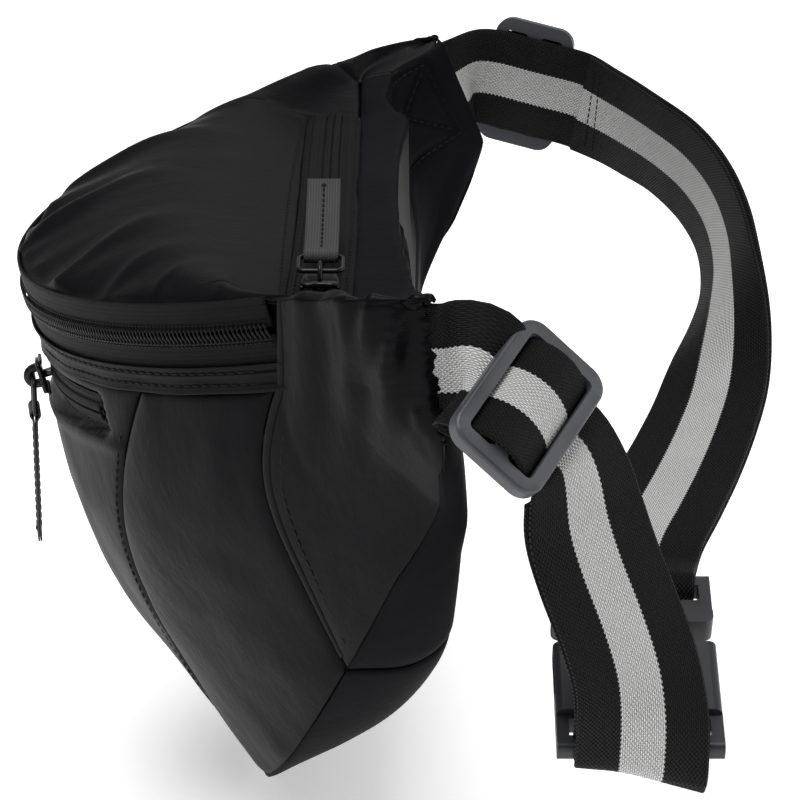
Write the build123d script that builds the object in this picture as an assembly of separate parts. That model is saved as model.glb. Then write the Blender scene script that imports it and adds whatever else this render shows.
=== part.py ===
from build123d import *

import os
from math import cos, radians, sin, sqrt

# Waist pack, buckled. X runs along the pack, the front is -Y, the wearer is at +Y, +Z is up.
# The origin is the centre of the flat rear face of the lumbar pad. Millimetres.

# Driving dimensions
PACK_HALF_LENGTH = 147.0    # wing tip to the middle
CAVITY_HALF_LENGTH = 117.0  # the compartments end where the front zip ends
BACK_TIP_Y = 4.0            # the wearer's face at the wing tips
WING_MIDDLE_Z = 54.0        # height of the webbing where it leaves a wing
FAR_WRAP = 13.0             # the far wing tip is bent this much towards the wearer
FAR_SLANT = 0.42            # lean of the far wing tip, y for each z
NEAR_SLANT = 0.12
NEAR_BULGE = 9.0
WALL = 1.8                  # fabric, foam and lining together
WEB_WIDTH = 32.0
WEB_THICK = 1.3
LAYER_GAP = 2.1             # from the middle of one webbing layer to the next
LOOP_RADIUS = 4.4           # webbing round a buckle bar
CLEAR = 0.4                 # air between pieces on different bodies

# Front zip: a circular arc in a plane that leans forward
ZIP_RADIUS = 131.0
ZIP_LEAN = 14.93
ZIP_CENTRE = (0.0, 19.5, 70.2)
ZIP_HALF_ANGLE = 63.5
TAPE_TOP = 8.0
TAPE_BOTTOM = -8.0
BINDING_BOTTOM = -15.0
TAPE_THICK = 0.8
TOOTH_SLOT = 1.2            # half the gap between the two tapes

# Rear zip: straight, along the top edge of the back
REAR_ZIP_Y = -24.0
REAR_ZIP_Z = 57.0
REAR_ZIP_HALF = 97.0
REAR_TAPE_HALF = 7.5

# Pocket zip: an arc below the binding, about the front zip's axis
POCKET_D = -24.0
POCKET_TAPE_HALF = 5.0
POCKET_HALF_ANGLE = 33.0
POCKET_SLIDER = 9.0         # angle along the arc where its slider rests

SLIDER_LENGTH = 11.0
SLIDER_HALF_WIDTH = 4.6

# Buckle: its own frame has X along the pull, Y across the webbing, Z out of its top face
BUCKLE_AT = (127.0, 53.0, -28.0)
BUCKLE_PITCH = 25.8
BUCKLE_WIDTH = 40.0
BUCKLE_THICK = 9.0
BUCKLE_FEMALE = 27.0
BUCKLE_MALE = 29.0

LEAN_UP = Vector(0, -sin(radians(ZIP_LEAN)), cos(radians(ZIP_LEAN)))


def lerp(a, b, t):
    return a + (b - a) * t


def part_way(s, low, high):
    """0 below low, 1 above high, straight between."""
    return min(1.0, max(0.0, (s - low) / (high - low)))


# ---------------------------------------------------------------- the bag's envelope

def zip_line(s):
    """Front zip at distance s from the middle, as (y, z); past the zip it runs into the wing tip."""
    held = min(s, CAVITY_HALF_LENGTH)
    reach = sqrt(ZIP_RADIUS**2 - held**2)
    y = ZIP_CENTRE[1] - cos(radians(ZIP_LEAN)) * reach
    z = ZIP_CENTRE[2] - sin(radians(ZIP_LEAN)) * reach
    t = part_way(s, CAVITY_HALF_LENGTH, PACK_HALF_LENGTH)
    return lerp(y, -5.5, t), lerp(z, 64.0, t)


def keel(s):
    """The sharp lower edge where front and back meet."""
    t = part_way(s, 130.0, PACK_HALF_LENGTH)
    held = min(s, 130.0)
    return -44.0 + 0.00283 * held**2 - 1.5 * t, -111.0 + 0.00739 * held**2 + 22.0 * t


def back_y(s):
    return min(BACK_TIP_Y, -5.0 + 0.0005 * s**2)


def hip_bulge(x):
    """The near side of the back swells low down, where it rests on the hip."""
    return NEAR_BULGE * part_way(x, 50.0, 100.0) * (1 - part_way(x, 122.0, PACK_HALF_LENGTH))


def bend(x, y, z):
    """Leans both wing tips, and bends the far one round towards the wearer."""
    t = part_way(abs(x), CAVITY_HALF_LENGTH, PACK_HALF_LENGTH)
    if x > 0:
        return y + NEAR_SLANT * t * (WING_MIDDLE_Z - z), z
    return y + t**1.5 * (FAR_WRAP + FAR_SLANT * (WING_MIDDLE_Z - z)), z


def section_points(x, inset):
    """The bag's outline at x as lists of (y, z): lower back, back, top, zip band and front."""
    s = abs(x)
    tip = part_way(s, 100.0, PACK_HALF_LENGTH)
    up_y, up_z = LEAN_UP.Y, LEAN_UP.Z
    zy, zz = zip_line(s)
    zip_top = (zy + up_y * TAPE_TOP + inset, zz + up_z * TAPE_TOP - inset)
    zip_low = (zy + up_y * BINDING_BOTTOM + inset, zz + up_z * BINDING_BOTTOM)
    ky, kz = keel(s)
    low = (ky, kz + 2.2 * inset)
    rise = lerp(-45.0, kz + 14.0, part_way(s, 0.0, 130.0))
    lower_back = (back_y(s) + hip_bulge(x) - inset, max(rise, kz + 8.0))
    b1 = (lerp(low[0], lower_back[0], 0.6) + 4.0 * (1 - tip) - 0.5 * inset,
          lerp(low[1], lower_back[1], 0.45) - 2.0 * (1 - tip))
    top_z = lerp(REAR_ZIP_Z + 2.5, 71.0, part_way(s, REAR_ZIP_HALF, PACK_HALF_LENGTH)) - inset
    back_top = (back_y(s) - inset, top_z)
    ledge = REAR_ZIP_Z + 0.1 - inset
    rear = (lerp(REAR_ZIP_Y + 8.5, 0.5, tip), lerp(ledge, 71.0 - inset, tip))
    fore = (lerp(REAR_ZIP_Y - 8.5, -3.0, tip), lerp(ledge, 70.5 - inset, tip))
    crown = (lerp(zip_top[0], fore[0], 0.5), lerp(zip_top[1], fore[1], 0.5) + 10.0 * (1 - (s / 150.0)**2))
    span = sqrt((zip_low[0] - ky)**2 + (zip_low[1] - kz)**2) / 151.0
    q1 = (lerp(zip_low[0], low[0], 0.33) - 11.0 * span, lerp(zip_low[1], low[1], 0.33) - 5.0 * span)
    q2 = (lerp(zip_low[0], low[0], 0.67) - 7.5 * span, lerp(zip_low[1], low[1], 0.67) - 3.0 * span)
    lists = [
        [low, b1, lower_back],
        [lower_back, back_top],
        [back_top, rear, fore, crown, zip_top],
        [zip_top, zip_low],
        [zip_low, q1, q2, low],
    ]
    return [[bend(x, y, z) for y, z in points] for points in lists]


def section_wire(x, inset=0.0):
    edges = []
    for points in section_points(x, inset):
        path = [Vector(x, y, z) for y, z in points]
        if len(path) == 2:
            edges.append(Line(*path))
        elif len(path) == 3:
            edges.append(Spline(*path, tangents=[path[1] - path[0], (0, 0, 1)]))
        else:
            edges.append(Spline(*path))
    return Wire(edges)


def envelope(stations, inset=0.0):
    return Solid.make_loft([section_wire(x, inset) for x in stations], ruled=False)


# ---------------------------------------------------------------- cutting regions

def prism_x(points, low=-200.0, high=200.0):
    """A prism along X from a (y, z) outline."""
    face = make_face(Polyline(*[(low, y, z) for y, z in points], close=True))
    return extrude(face, amount=high - low, dir=(1, 0, 0))


def lean_plane(x_dir=(1, 0, 0)):
    return Plane(origin=ZIP_CENTRE, x_dir=x_dir, z_dir=LEAN_UP)


def slab(low, high):
    """Everything between two heights above the front zip's plane."""
    return lean_plane() * Pos(0, 0, (low + high) / 2) * Box(500, 500, high - low)


def arc_band(r_low, r_high, d_low, d_high, angle_low, angle_high):
    """A curved bar about the front zip's axis; angle 0 is the front, positive towards +X."""
    span = angle_high - angle_low
    start = angle_low - 90.0
    outer = CenterArc((0, 0), r_high, start, span)
    inner = CenterArc((0, 0), r_low, start, span)
    ring = make_face([outer, Line(outer @ 1, inner @ 1), inner, Line(inner @ 0, outer @ 0)])
    return lean_plane() * Pos(0, 0, d_low) * extrude(ring, amount=d_high - d_low)


def on_arc(angle, radius, height):
    """A point on the front zip's arc, in world coordinates."""
    local = Vector(radius * sin(radians(angle)), -radius * cos(radians(angle)), height)
    return lean_plane().from_local_coords(local)


def arc_frame(angle, radius, height):
    """A frame on the arc: X runs along the zip, Z points out of the bag."""
    at = on_arc(angle, radius, height)
    out = on_arc(angle, radius + 1, height) - at
    along = on_arc(angle + 90, radius, 0) - on_arc(angle + 90, 0, 0)
    return Plane(origin=at, x_dir=along.normalized(), z_dir=out.normalized())


def wing_region(side):
    """The end of the bag beyond the wing seam, which leans outwards going up."""
    points = [(106.5 + 0.25 * z, z) for z in (-160.0, 120.0)] + [(220.0, 120.0), (220.0, -160.0)]
    face = make_face(Polyline(*[(side * x, -200.0, z) for x, z in points], close=True))
    return extrude(face, amount=400.0, dir=(0, 1, 0))


def centre_region():
    """Between the two front seams, which run together at the foot of the bag."""
    points = [(72.0 + 0.55 * z, z) for z in (-126.0, 120.0)]
    outline = points + [(-x, z) for x, z in reversed(points)]
    face = make_face(Polyline(*[(x, -200.0, z) for x, z in outline], close=True))
    return extrude(face, amount=400.0, dir=(0, 1, 0))


BACK_OUTLINE = [
    (REAR_ZIP_Y + REAR_TAPE_HALF + 0.1, 120.0),
    (REAR_ZIP_Y + REAR_TAPE_HALF + 0.1, 30.0),
    (-8.0, 10.0),
    (-8.0, -10.0),
    (-51.3, -130.0),
    (80.0, -130.0),
    (80.0, 120.0),
]


def web_slot(name):
    """The pocket in a wing tip that holds the end of the webbing."""
    point, along, across, _ = section_frames(NEAR_PATH if name == "near" else FAR_PATH)[0]
    frame = Plane(origin=point, x_dir=along, z_dir=across)
    return frame * Pos(12.0, 0, 0) * Box(25.0, WEB_THICK + 0.6, WEB_WIDTH + 0.6)


# ---------------------------------------------------------------- webbing

def section_frames(path):
    """At each stop: the point, the way along, the way across and the way out of its outer face."""
    points = [Vector(*point) for point, _ in path]
    frames = []
    for i, (_, across) in enumerate(path):
        ahead = points[min(i + 1, len(points) - 1)] - points[max(i - 1, 0)]
        along = ahead.normalized()
        across = Vector(*across)
        across = (across - along * across.dot(along)).normalized()
        frames.append((points[i], along, across, along.cross(across)))
    return frames


def web_section(frame, offset):
    point, _, across, out = frame
    half_w, half_t = WEB_WIDTH / 2, WEB_THICK / 2
    corners = [
        point + across * half_w + out * (offset + half_t),
        point - across * half_w + out * (offset + half_t),
        point - across * half_w + out * (offset - half_t),
        point + across * half_w + out * (offset - half_t),
    ]
    return Wire.make_polygon([tuple(c) for c in corners], close=True)


def doubled_webbing(frames, loop, start, gap):
    """Webbing that runs to a buckle bar, turns round it and comes back as a second layer."""
    sections = [web_section(f, 0.0) for f in frames]
    sections += [web_section(f, 0.0) for f in loop]
    for point, along, across, out in reversed(frames[start:-1]):
        sections.append(web_section((point, along, across, -1 * out), gap))
    solid = Solid.make_loft(sections, ruled=True)
    return solid if solid.volume > 0 else Solid.make_loft(sections[::-1], ruled=True)


def straight(centre, along, across, *distances):
    """Stops on a straight stretch of webbing, for an adjuster to slide on."""
    return [((Vector(*centre) + Vector(*along).normalized() * d), across) for d in distances]


# Each stop is a point on the webbing's middle and the way its upper edge points.
NEAR_PATH = [
    ((143.2, -4, 54), (0, 0, 1)),
    ((143.2, 8.8, 54), (0, 0, 1)),
    ((143.4, 10.2, 54.4), (-0.08, 0, 1)),
    ((146.2, 11.6, 55.6), (-0.45, 0.25, 0.8)),
    *straight((150, 23.5, 46), (0.074, 0.736, -0.673), (-0.77, 0.47, 0.43), -15.0, -13.5, 0.0, 18.5),
    ((151.9, 40.0, 29), (-0.74, 0.56, 0.38)),
    ((152.2, 41.4, 20), (-0.64, 0.71, 0.28)),
    ((152.8, 43.8, 9), (-0.56, 0.81, 0.16)),
    ((153.6, 47.8, -4), (-0.48, 0.87, 0.08)),
    ((154.6, 51.3, -17), (-0.36, 0.93, 0.02)),
    ((155.0, 52.8, -27), (-0.06, 1, 0)),
    ((155.0, 53.0, -33), (0, 1, 0)),
]
FAR_PATH = [
    ((-139.5, 9.2, 54), (0, -0.39, 0.92)),
    ((-147.5, 13.9, 54), (0, -0.39, 0.92)),
    ((-149.2, 14.9, 54.2), (0, -0.32, 0.95)),
    ((-157.0, 19.6, 56.2), (0.03, 0.14, 0.98)),
    *straight((-158.3, 36, 53), (0.24, 0.95, -0.2), (0.05, 0.19, 0.96), -15.0, -13.5, 0.0, 19.0, 20.5),
    ((-145, 61, 47.5), (0, 0, 1)),
    ((-131, 67.5, 46), (0, -0.05, 1)),
    ((-115, 76, 44.5), (0, -0.1, 1)),
    ((-97, 86, 39.5), (0, 0, 1)),
    ((-78, 92, 33), (0, 0.12, 1)),
    ((-59, 93.5, 25), (0, 0.3, 0.95)),
    ((-38, 91.5, 16), (0, 0.55, 0.8)),
    ((-18, 88, 7.5), (0, 0.8, 0.55)),
    ((2, 83.5, 0), (0, 0.94, 0.3)),
    ((22, 77.5, -5), (0, 0.98, 0.15)),
    ((42, 71, -8.5), (0, 1, 0.05)),
    ((62, 64, -11.5), (0, 1, 0)),
    ((80, 57.5, -14.5), (0, 1, 0)),
    ((92, 54.3, -18.2), (0, 1, 0)),
]
ADJUSTER_STOP = 6
RETURN_STOP = 8             # the second layer ends here, past the adjuster


# ---------------------------------------------------------------- hardware

def buckle_frame():
    pitch = radians(BUCKLE_PITCH)
    return Plane(origin=BUCKLE_AT, x_dir=(cos(pitch), 0, -sin(pitch)), z_dir=(sin(pitch), 0, cos(pitch)))


def block(x_low, x_high, y_low, y_high, z_low, z_high):
    return Pos((x_low + x_high) / 2, (y_low + y_high) / 2, (z_low + z_high) / 2) * Box(
        x_high - x_low, y_high - y_low, z_high - z_low)


def female_half():
    """Housing with a mouth at -X, side windows for the prong heads and a webbing bar at +X."""
    half = BUCKLE_WIDTH / 2
    thick = BUCKLE_THICK / 2
    body = block(-5, 16.5, -half, half, -thick, thick)
    body = fillet(body.edges().filter_by(Axis.X), 2.2)
    body -= block(-6, 13.5, -15.8, 15.8, -2.8, 2.8)
    body -= block(-2.2, 9.8, -half - 1, half + 1, -2.8, 2.8)
    bar_end = block(16.0, BUCKLE_FEMALE, -half, half, -2.6, 2.6)
    bar_end = fillet(bar_end.edges().filter_by(Axis.Y).group_by(Axis.X)[-1], 1.8)
    bar_end -= block(18.0, 23.0, -17.0, 17.0, -4, 4)
    return body + bar_end


def male_half():
    """Webbing bar at -X, a shoulder and the centre tongue that guides it into the housing."""
    half = BUCKLE_WIDTH / 2
    body = block(-BUCKLE_MALE, -17.0, -half, half, -2.6, 2.6)
    body = fillet(body.edges().filter_by(Axis.Y).group_by(Axis.X)[0], 1.8)
    body -= block(-25.0, -20.0, -17.0, 17.0, -4, 4)
    shoulder = block(-17.5, -12.0, -half, half, -3.6, 3.6)
    shoulder = fillet(shoulder.edges().filter_by(Axis.Z), 2.0)
    tongue = block(-12.5, 10.0, -3.2, 3.2, -1.8, 1.8)
    tongue = fillet(tongue.edges().filter_by(Axis.Z).group_by(Axis.X)[-1], 1.5)
    return body + shoulder + tongue


def prong(side):
    """A side prong; its barbed head fills the housing's side window."""
    outline = [(-11.6, 9.6), (-11.6, 13.4), (-2.0, 13.6), (-1.2, 19.2), (2.0, 19.6), (8.2, 13.5), (8.2, 10.5), (4.0, 9.6)]
    face = make_face(Polyline(*[(x, side * y) for x, y in outline], close=True))
    return Pos(0, 0, -2.3) * extrude(face, amount=4.6, dir=(0, 0, 1))


def adjuster_frame():
    """Tri-glide: two windows with a bar between them, lying on the webbing's outer face."""
    plate = extrude(RectangleRounded(26.0, 41.0, 5.5), amount=3.6)
    plate = fillet(plate.edges().group_by(Axis.Z)[-1], 1.0)
    for side in (-1, 1):
        plate -= Pos(side * 5.75, 0, -1) * extrude(RectangleRounded(7.5, 33.0, 1.5), amount=8)
    return Pos(0, 0, WEB_THICK / 2 + CLEAR) * plate


def ribbon_profile(points, thick):
    """The outline of a strip that follows the given (x, z) stops."""
    above, below = [], []
    for i, (x, z) in enumerate(points):
        ahead = points[min(i + 1, len(points) - 1)]
        behind = points[max(i - 1, 0)]
        run, rise = ahead[0] - behind[0], ahead[1] - behind[1]
        size = sqrt(run**2 + rise**2)
        above.append((x - rise / size * thick / 2, z + run / size * thick / 2))
        below.append((x + rise / size * thick / 2, z - run / size * thick / 2))
    return above + below[::-1]


def adjuster_webbing():
    """The turn of webbing over the adjuster's centre bar."""
    stops = [(-7.8, 1.9), (-6.6, 3.6), (-4.2, 5.3), (-1.8, 6.0), (1.8, 6.0), (4.2, 5.3), (6.6, 3.6), (7.8, 1.9)]
    outline = ribbon_profile(stops, WEB_THICK)
    face = make_face(Polyline(*[(x, -15.5, z) for x, z in outline], close=True))
    return extrude(face, amount=31.0, dir=(0, 1, 0))


def slider_body(eye_along_zip):
    """Two plates joined by the post that parts the teeth, with an eye on top for the ring."""
    top = extrude(RectangleRounded(SLIDER_LENGTH, 2 * SLIDER_HALF_WIDTH, 2.4), amount=1.3)
    top = Pos(0, 0, 2.6) * fillet(top.edges().group_by(Axis.Z)[-1], 0.5)
    bottom = Pos(0, 0, -2.6) * extrude(RectangleRounded(SLIDER_LENGTH, 2 * SLIDER_HALF_WIDTH, 2.4), amount=1.2)
    post = block(-1.6, 1.6, -0.8, 0.8, -1.5, 2.7)
    eye = block(-2.6, 2.6, -1.4, 1.4, 3.8, 7.2)
    eye = fillet(eye.edges().filter_by(Axis.Y).group_by(Axis.Z)[-1], 1.6)
    eye -= block(-1.25, 1.25, -3, 3, 4.3, 6.6)
    if eye_along_zip:
        eye = Rot(0, 0, 90) * eye
    return top + bottom + post + eye


EYE_HEIGHT = 5.5


def pull_ring():
    """Wire loop through the eye at its origin, reaching along +X."""
    ring = RectangleRounded(11.0, 12.2, 3.0) - RectangleRounded(8.2, 9.4, 0.8)
    return Pos(4.8, 0, -0.7) * extrude(ring, amount=1.4)


RING_REACH = 9.6
RIBBON_WIDTH = 8.6
RIBBON_LENGTH = 37.0
SHORT_RIBBON = 21.0         # the front zip's, which passes over the pocket zip's pull


def pull_ribbon(length):
    """Folded tape pull, looped round the far side of the ring."""
    outline = Polyline((0, -1.0), (length, -1.0), (length, 1.0), (0, 1.0), close=True)
    body = extrude(make_face(outline), amount=RIBBON_WIDTH)
    body += extrude(Circle(2.1), amount=RIBBON_WIDTH)
    body -= extrude(Circle(1.15), amount=RIBBON_WIDTH)
    return Pos(RING_REACH, -RIBBON_WIDTH / 2, 0) * (Rot(-90, 0, 0) * body)


# ---------------------------------------------------------------- assembly

def build():
    parts = {}
    half = [20.0, 40.0, 60.0, 80.0, 97.0, 109.0, 117.0, 127.0, 137.0, 147.0]
    outer = envelope([-x for x in reversed(half)] + [0.0] + half)
    half = [20.0, 40.0, 60.0, 80.0, 97.0, 109.0, 116.0]
    inner = envelope([-x for x in reversed(half)] + [0.0] + half, WALL)
    shell = outer - inner
    add_panels(parts, shell, inner)
    add_zips(parts)
    add_straps(parts)
    return parts


def add_panels(parts, shell, inner):
    wings = {"near": wing_region(1), "far": wing_region(-1)}
    back = prism_x(BACK_OUTLINE)
    middle = shell - wings["near"] - wings["far"]
    rest = middle - back
    rear_edge = REAR_ZIP_Y - REAR_TAPE_HALF - 0.1
    below = slab(-260.0, BINDING_BOTTOM - 0.15)
    tops = prism_x([(-140, 20), (rear_edge, 20), (rear_edge, 120), (-140, 120)])
    for side in (-1, 1):
        low, high = sorted((side * (REAR_ZIP_HALF + 0.2), side * 130))
        tops += block(low, high, rear_edge - 1, REAR_ZIP_Y + REAR_TAPE_HALF + 0.1, 46, 120)
    band = arc_band(125, 180, -150, TAPE_TOP + 0.15, -100, 100)
    parts["top_panel"] = (rest & tops) - band
    front = rest & below
    pocket_cut = arc_band(110, 150, POCKET_D - 5.2, POCKET_D + 5.2, -POCKET_HALF_ANGLE - 1.2, POCKET_HALF_ANGLE + 1.2)
    centre = centre_region()
    parts["front_panel"] = (front & centre) - pocket_cut
    sides = front - centre
    for name, sign in (("near", 1), ("far", -1)):
        half_space = Pos(sign * 150, 0, 0) * Box(300, 600, 600)
        parts["side_panel_" + name] = sides & half_space
        end = (shell & wings[name]) - web_slot(name)
        parts["wing_" + name] = end - back
        parts["wing_lining_" + name] = end & back
    parts["back_panel"] = middle & back
    pad = Pos(0, -2.5, 2) * Box(96, 5.0, 80)
    pad = fillet(pad.edges().filter_by(Axis.Y), 9.0)
    parts["lumbar_pad"] = pad - shell - inner
    sheet = prism_x([(-38.0, 52.0), (-36.8, 52.0), (-37.8, -88.0), (-39.0, -88.0)], -112, 112)
    core = envelope([-112.0, -97.0, -80.0, -40.0, 0.0, 40.0, 80.0, 97.0, 112.0], WALL + 0.8)
    parts["divider"] = sheet & core


def add_zips(parts):
    a = ZIP_HALF_ANGLE
    r = ZIP_RADIUS
    parts["front_zip_upper_tape"] = arc_band(r - TAPE_THICK, r, TOOTH_SLOT, TAPE_TOP, -a, a)
    parts["front_zip_lower_tape"] = arc_band(r - TAPE_THICK, r, TAPE_BOTTOM + 0.1, -TOOTH_SLOT, -a, a)
    parts["front_zip_teeth"] = arc_band(r + 0.1, r + 2.1, -2.3, 2.3, -a + 7.0, a - 1)
    parts["binding_strip"] = arc_band(r - TAPE_THICK, r + 0.8, BINDING_BOTTOM, TAPE_BOTTOM, 1.5 - a, a - 1.5)
    b = POCKET_HALF_ANGLE
    d = POCKET_D
    half = POCKET_TAPE_HALF
    parts["pocket_zip_upper_tape"] = arc_band(r - TAPE_THICK, r, d + TOOTH_SLOT, d + half, -b, b)
    parts["pocket_zip_lower_tape"] = arc_band(r - TAPE_THICK, r, d - half, d - TOOTH_SLOT, -b, b)
    teeth = arc_band(r + 0.1, r + 2.1, d - 2.3, d + 2.3, -b + 1, b - 1)
    parts["pocket_zip_teeth"] = teeth - arc_band(r - 5, r + 5, d - 5, d + 5, POCKET_SLIDER - 2, POCKET_SLIDER + 2)
    x = REAR_ZIP_HALF
    y = REAR_ZIP_Y
    z = REAR_ZIP_Z
    for name, side in (("front", -1), ("back", 1)):
        edges = sorted((y + side * TOOTH_SLOT, y + side * REAR_TAPE_HALF))
        parts["rear_zip_tape_" + name] = block(-x, x, edges[0], edges[1], z - TAPE_THICK, z)
    parts["rear_zip_teeth"] = block(-x + 1, x - 9.0, y - 2.3, y + 2.3, z + 0.1, z + 2.1)
    add_pull(parts, "front_zip", arc_frame(-60.0, r, 0.0), True, SHORT_RIBBON)
    add_pull(parts, "pocket_zip", arc_frame(POCKET_SLIDER, r, d), True)
    add_pull(parts, "rear_zip", Plane(origin=(91.0, y, z), x_dir=(1, 0, 0), z_dir=(0, 0, 1)), False)


def add_pull(parts, name, frame, hangs, ribbon=RIBBON_LENGTH):
    """A slider on its zip, with its ring and ribbon hanging plumb or lying along the zip."""
    parts[name + "_slider"] = frame * slider_body(hangs)
    eye = frame.from_local_coords(Vector(0, 0, EYE_HEIGHT))
    if hangs:
        out = Vector(frame.z_dir.X, frame.z_dir.Y, 0).normalized()
        hung = Plane(origin=eye, x_dir=(0, 0, -1), z_dir=out)
    else:
        hung = Plane(origin=eye, x_dir=(-1, 0, 0.1), z_dir=(0.1, 0, 1))
    parts[name + "_ring"] = hung * pull_ring()
    parts[name + "_pull"] = hung * pull_ribbon(ribbon)


def bar_loop(frame, bar_x, first, last, steps):
    """Stops round a buckle bar, between two angles about it; 0 is the bar's +X side."""
    stops = []
    for i in range(steps + 1):
        angle = radians(lerp(first, last, i / steps))
        reach = Vector(bar_x + LOOP_RADIUS * cos(angle), 0, LOOP_RADIUS * sin(angle))
        outwards = Vector(cos(angle), 0, sin(angle))
        out = frame.from_local_coords(outwards) - frame.origin
        stops.append((frame.from_local_coords(reach), None, frame.y_dir, out.normalized()))
    return stops


def add_straps(parts):
    buckle = buckle_frame()
    parts["buckle_female"] = buckle * female_half()
    parts["buckle_male"] = buckle * male_half()
    parts["buckle_prong_left"] = buckle * prong(1)
    parts["buckle_prong_right"] = buckle * prong(-1)
    near = section_frames(NEAR_PATH)
    far = section_frames(FAR_PATH)
    near_loop = bar_loop(buckle, BUCKLE_FEMALE - 2.0, 0.0, -150.0, 8)
    far_loop = bar_loop(buckle, 2.0 - BUCKLE_MALE, -90.0, 90.0, 9)
    parts["webbing_near"] = doubled_webbing(near, near_loop, RETURN_STOP, LAYER_GAP)
    flipped = [(point, along, across, -1 * out) for point, along, across, out in far]
    parts["webbing_far"] = doubled_webbing(flipped, far_loop, RETURN_STOP, LAYER_GAP)
    for name, frames in (("near", near), ("far", flipped)):
        point, along, across, out = frames[ADJUSTER_STOP]
        plane = Plane(origin=point, x_dir=along, z_dir=out)
        parts["adjuster_" + name] = plane * adjuster_frame()
        parts["adjuster_webbing_" + name] = plane * adjuster_webbing()


if __name__ == "__main__":
    os.makedirs("parts", exist_ok=True)
    for name, shape in build().items():
        export_step(Compound(shape.solids()) if len(shape.solids()) > 1 else shape.solids()[0], f"parts/{name}.step")
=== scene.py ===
"""Visual model of a buckled waist pack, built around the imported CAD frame. Metres, row frame."""

import math

import bpy
import numpy as np
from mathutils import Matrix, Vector


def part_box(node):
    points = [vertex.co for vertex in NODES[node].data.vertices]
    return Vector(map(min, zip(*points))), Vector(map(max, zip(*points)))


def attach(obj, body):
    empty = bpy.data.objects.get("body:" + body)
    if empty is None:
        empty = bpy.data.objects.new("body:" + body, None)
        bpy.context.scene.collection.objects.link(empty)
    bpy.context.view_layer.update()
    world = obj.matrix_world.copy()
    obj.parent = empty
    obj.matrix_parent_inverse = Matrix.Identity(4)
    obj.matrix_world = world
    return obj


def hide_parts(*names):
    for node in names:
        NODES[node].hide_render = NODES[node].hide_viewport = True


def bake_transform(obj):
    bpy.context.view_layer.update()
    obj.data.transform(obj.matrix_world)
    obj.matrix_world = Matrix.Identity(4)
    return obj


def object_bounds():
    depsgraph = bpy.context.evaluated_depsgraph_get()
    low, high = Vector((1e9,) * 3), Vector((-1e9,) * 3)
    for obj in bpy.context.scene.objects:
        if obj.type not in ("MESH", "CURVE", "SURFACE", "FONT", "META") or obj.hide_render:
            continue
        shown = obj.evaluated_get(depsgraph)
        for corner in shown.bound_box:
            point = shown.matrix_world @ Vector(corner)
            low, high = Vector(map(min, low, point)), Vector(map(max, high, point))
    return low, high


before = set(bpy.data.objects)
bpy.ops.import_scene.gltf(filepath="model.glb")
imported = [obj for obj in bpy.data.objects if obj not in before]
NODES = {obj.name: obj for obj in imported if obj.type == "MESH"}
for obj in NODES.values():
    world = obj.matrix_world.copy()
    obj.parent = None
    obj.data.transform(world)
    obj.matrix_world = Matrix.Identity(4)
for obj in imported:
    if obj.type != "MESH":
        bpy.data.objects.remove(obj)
CAD_BOX = [[float(v) for v in corner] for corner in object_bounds()]
MM = 0.001

# ------------------------------------------------------------------ the bag's envelope, as in the CAD (mm)

PACK_HALF = 147.0
CAVITY_HALF = 117.0
ZIP_R = 131.0
ZIP_LEAN = math.radians(14.93)
ZIP_CENTRE = np.array([0.0, 19.5, 70.2])
ZIP_HALF_ANGLE = 63.5
LEAN_UP = np.array([0.0, -math.sin(ZIP_LEAN), math.cos(ZIP_LEAN)])
LEAN_FRONT = np.array([0.0, -math.cos(ZIP_LEAN), -math.sin(ZIP_LEAN)])
REAR_Y = -24.0
REAR_Z = 57.0
POCKET_D = -24.0
POCKET_HALF = 33.0


def mix(a, b, t):
    return a + (b - a) * t


def part_way(s, low, high):
    return np.clip((s - low) / (high - low), 0.0, 1.0)


def smooth(s, low, high):
    t = part_way(s, low, high)
    return t * t * (3 - 2 * t)


def unit(v):
    """Vectors along the last axis, scaled to length 1."""
    return v / np.maximum(np.linalg.norm(v, axis=-1, keepdims=True), 1e-9)


def run_along(points):
    """The distance from the first point of a polyline to each of its points."""
    return np.concatenate([[0], np.cumsum(np.linalg.norm(np.diff(points, axis=0), axis=1))])


def bend(x, y, z):
    """Leans both wing tips, and bends the far one round towards the wearer."""
    t = float(part_way(abs(x), CAVITY_HALF, PACK_HALF))
    if x > 0:
        return y + 0.12 * t * (54.0 - z), z
    return y + t**1.5 * (13.0 + 0.42 * (54.0 - z)), z


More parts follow.
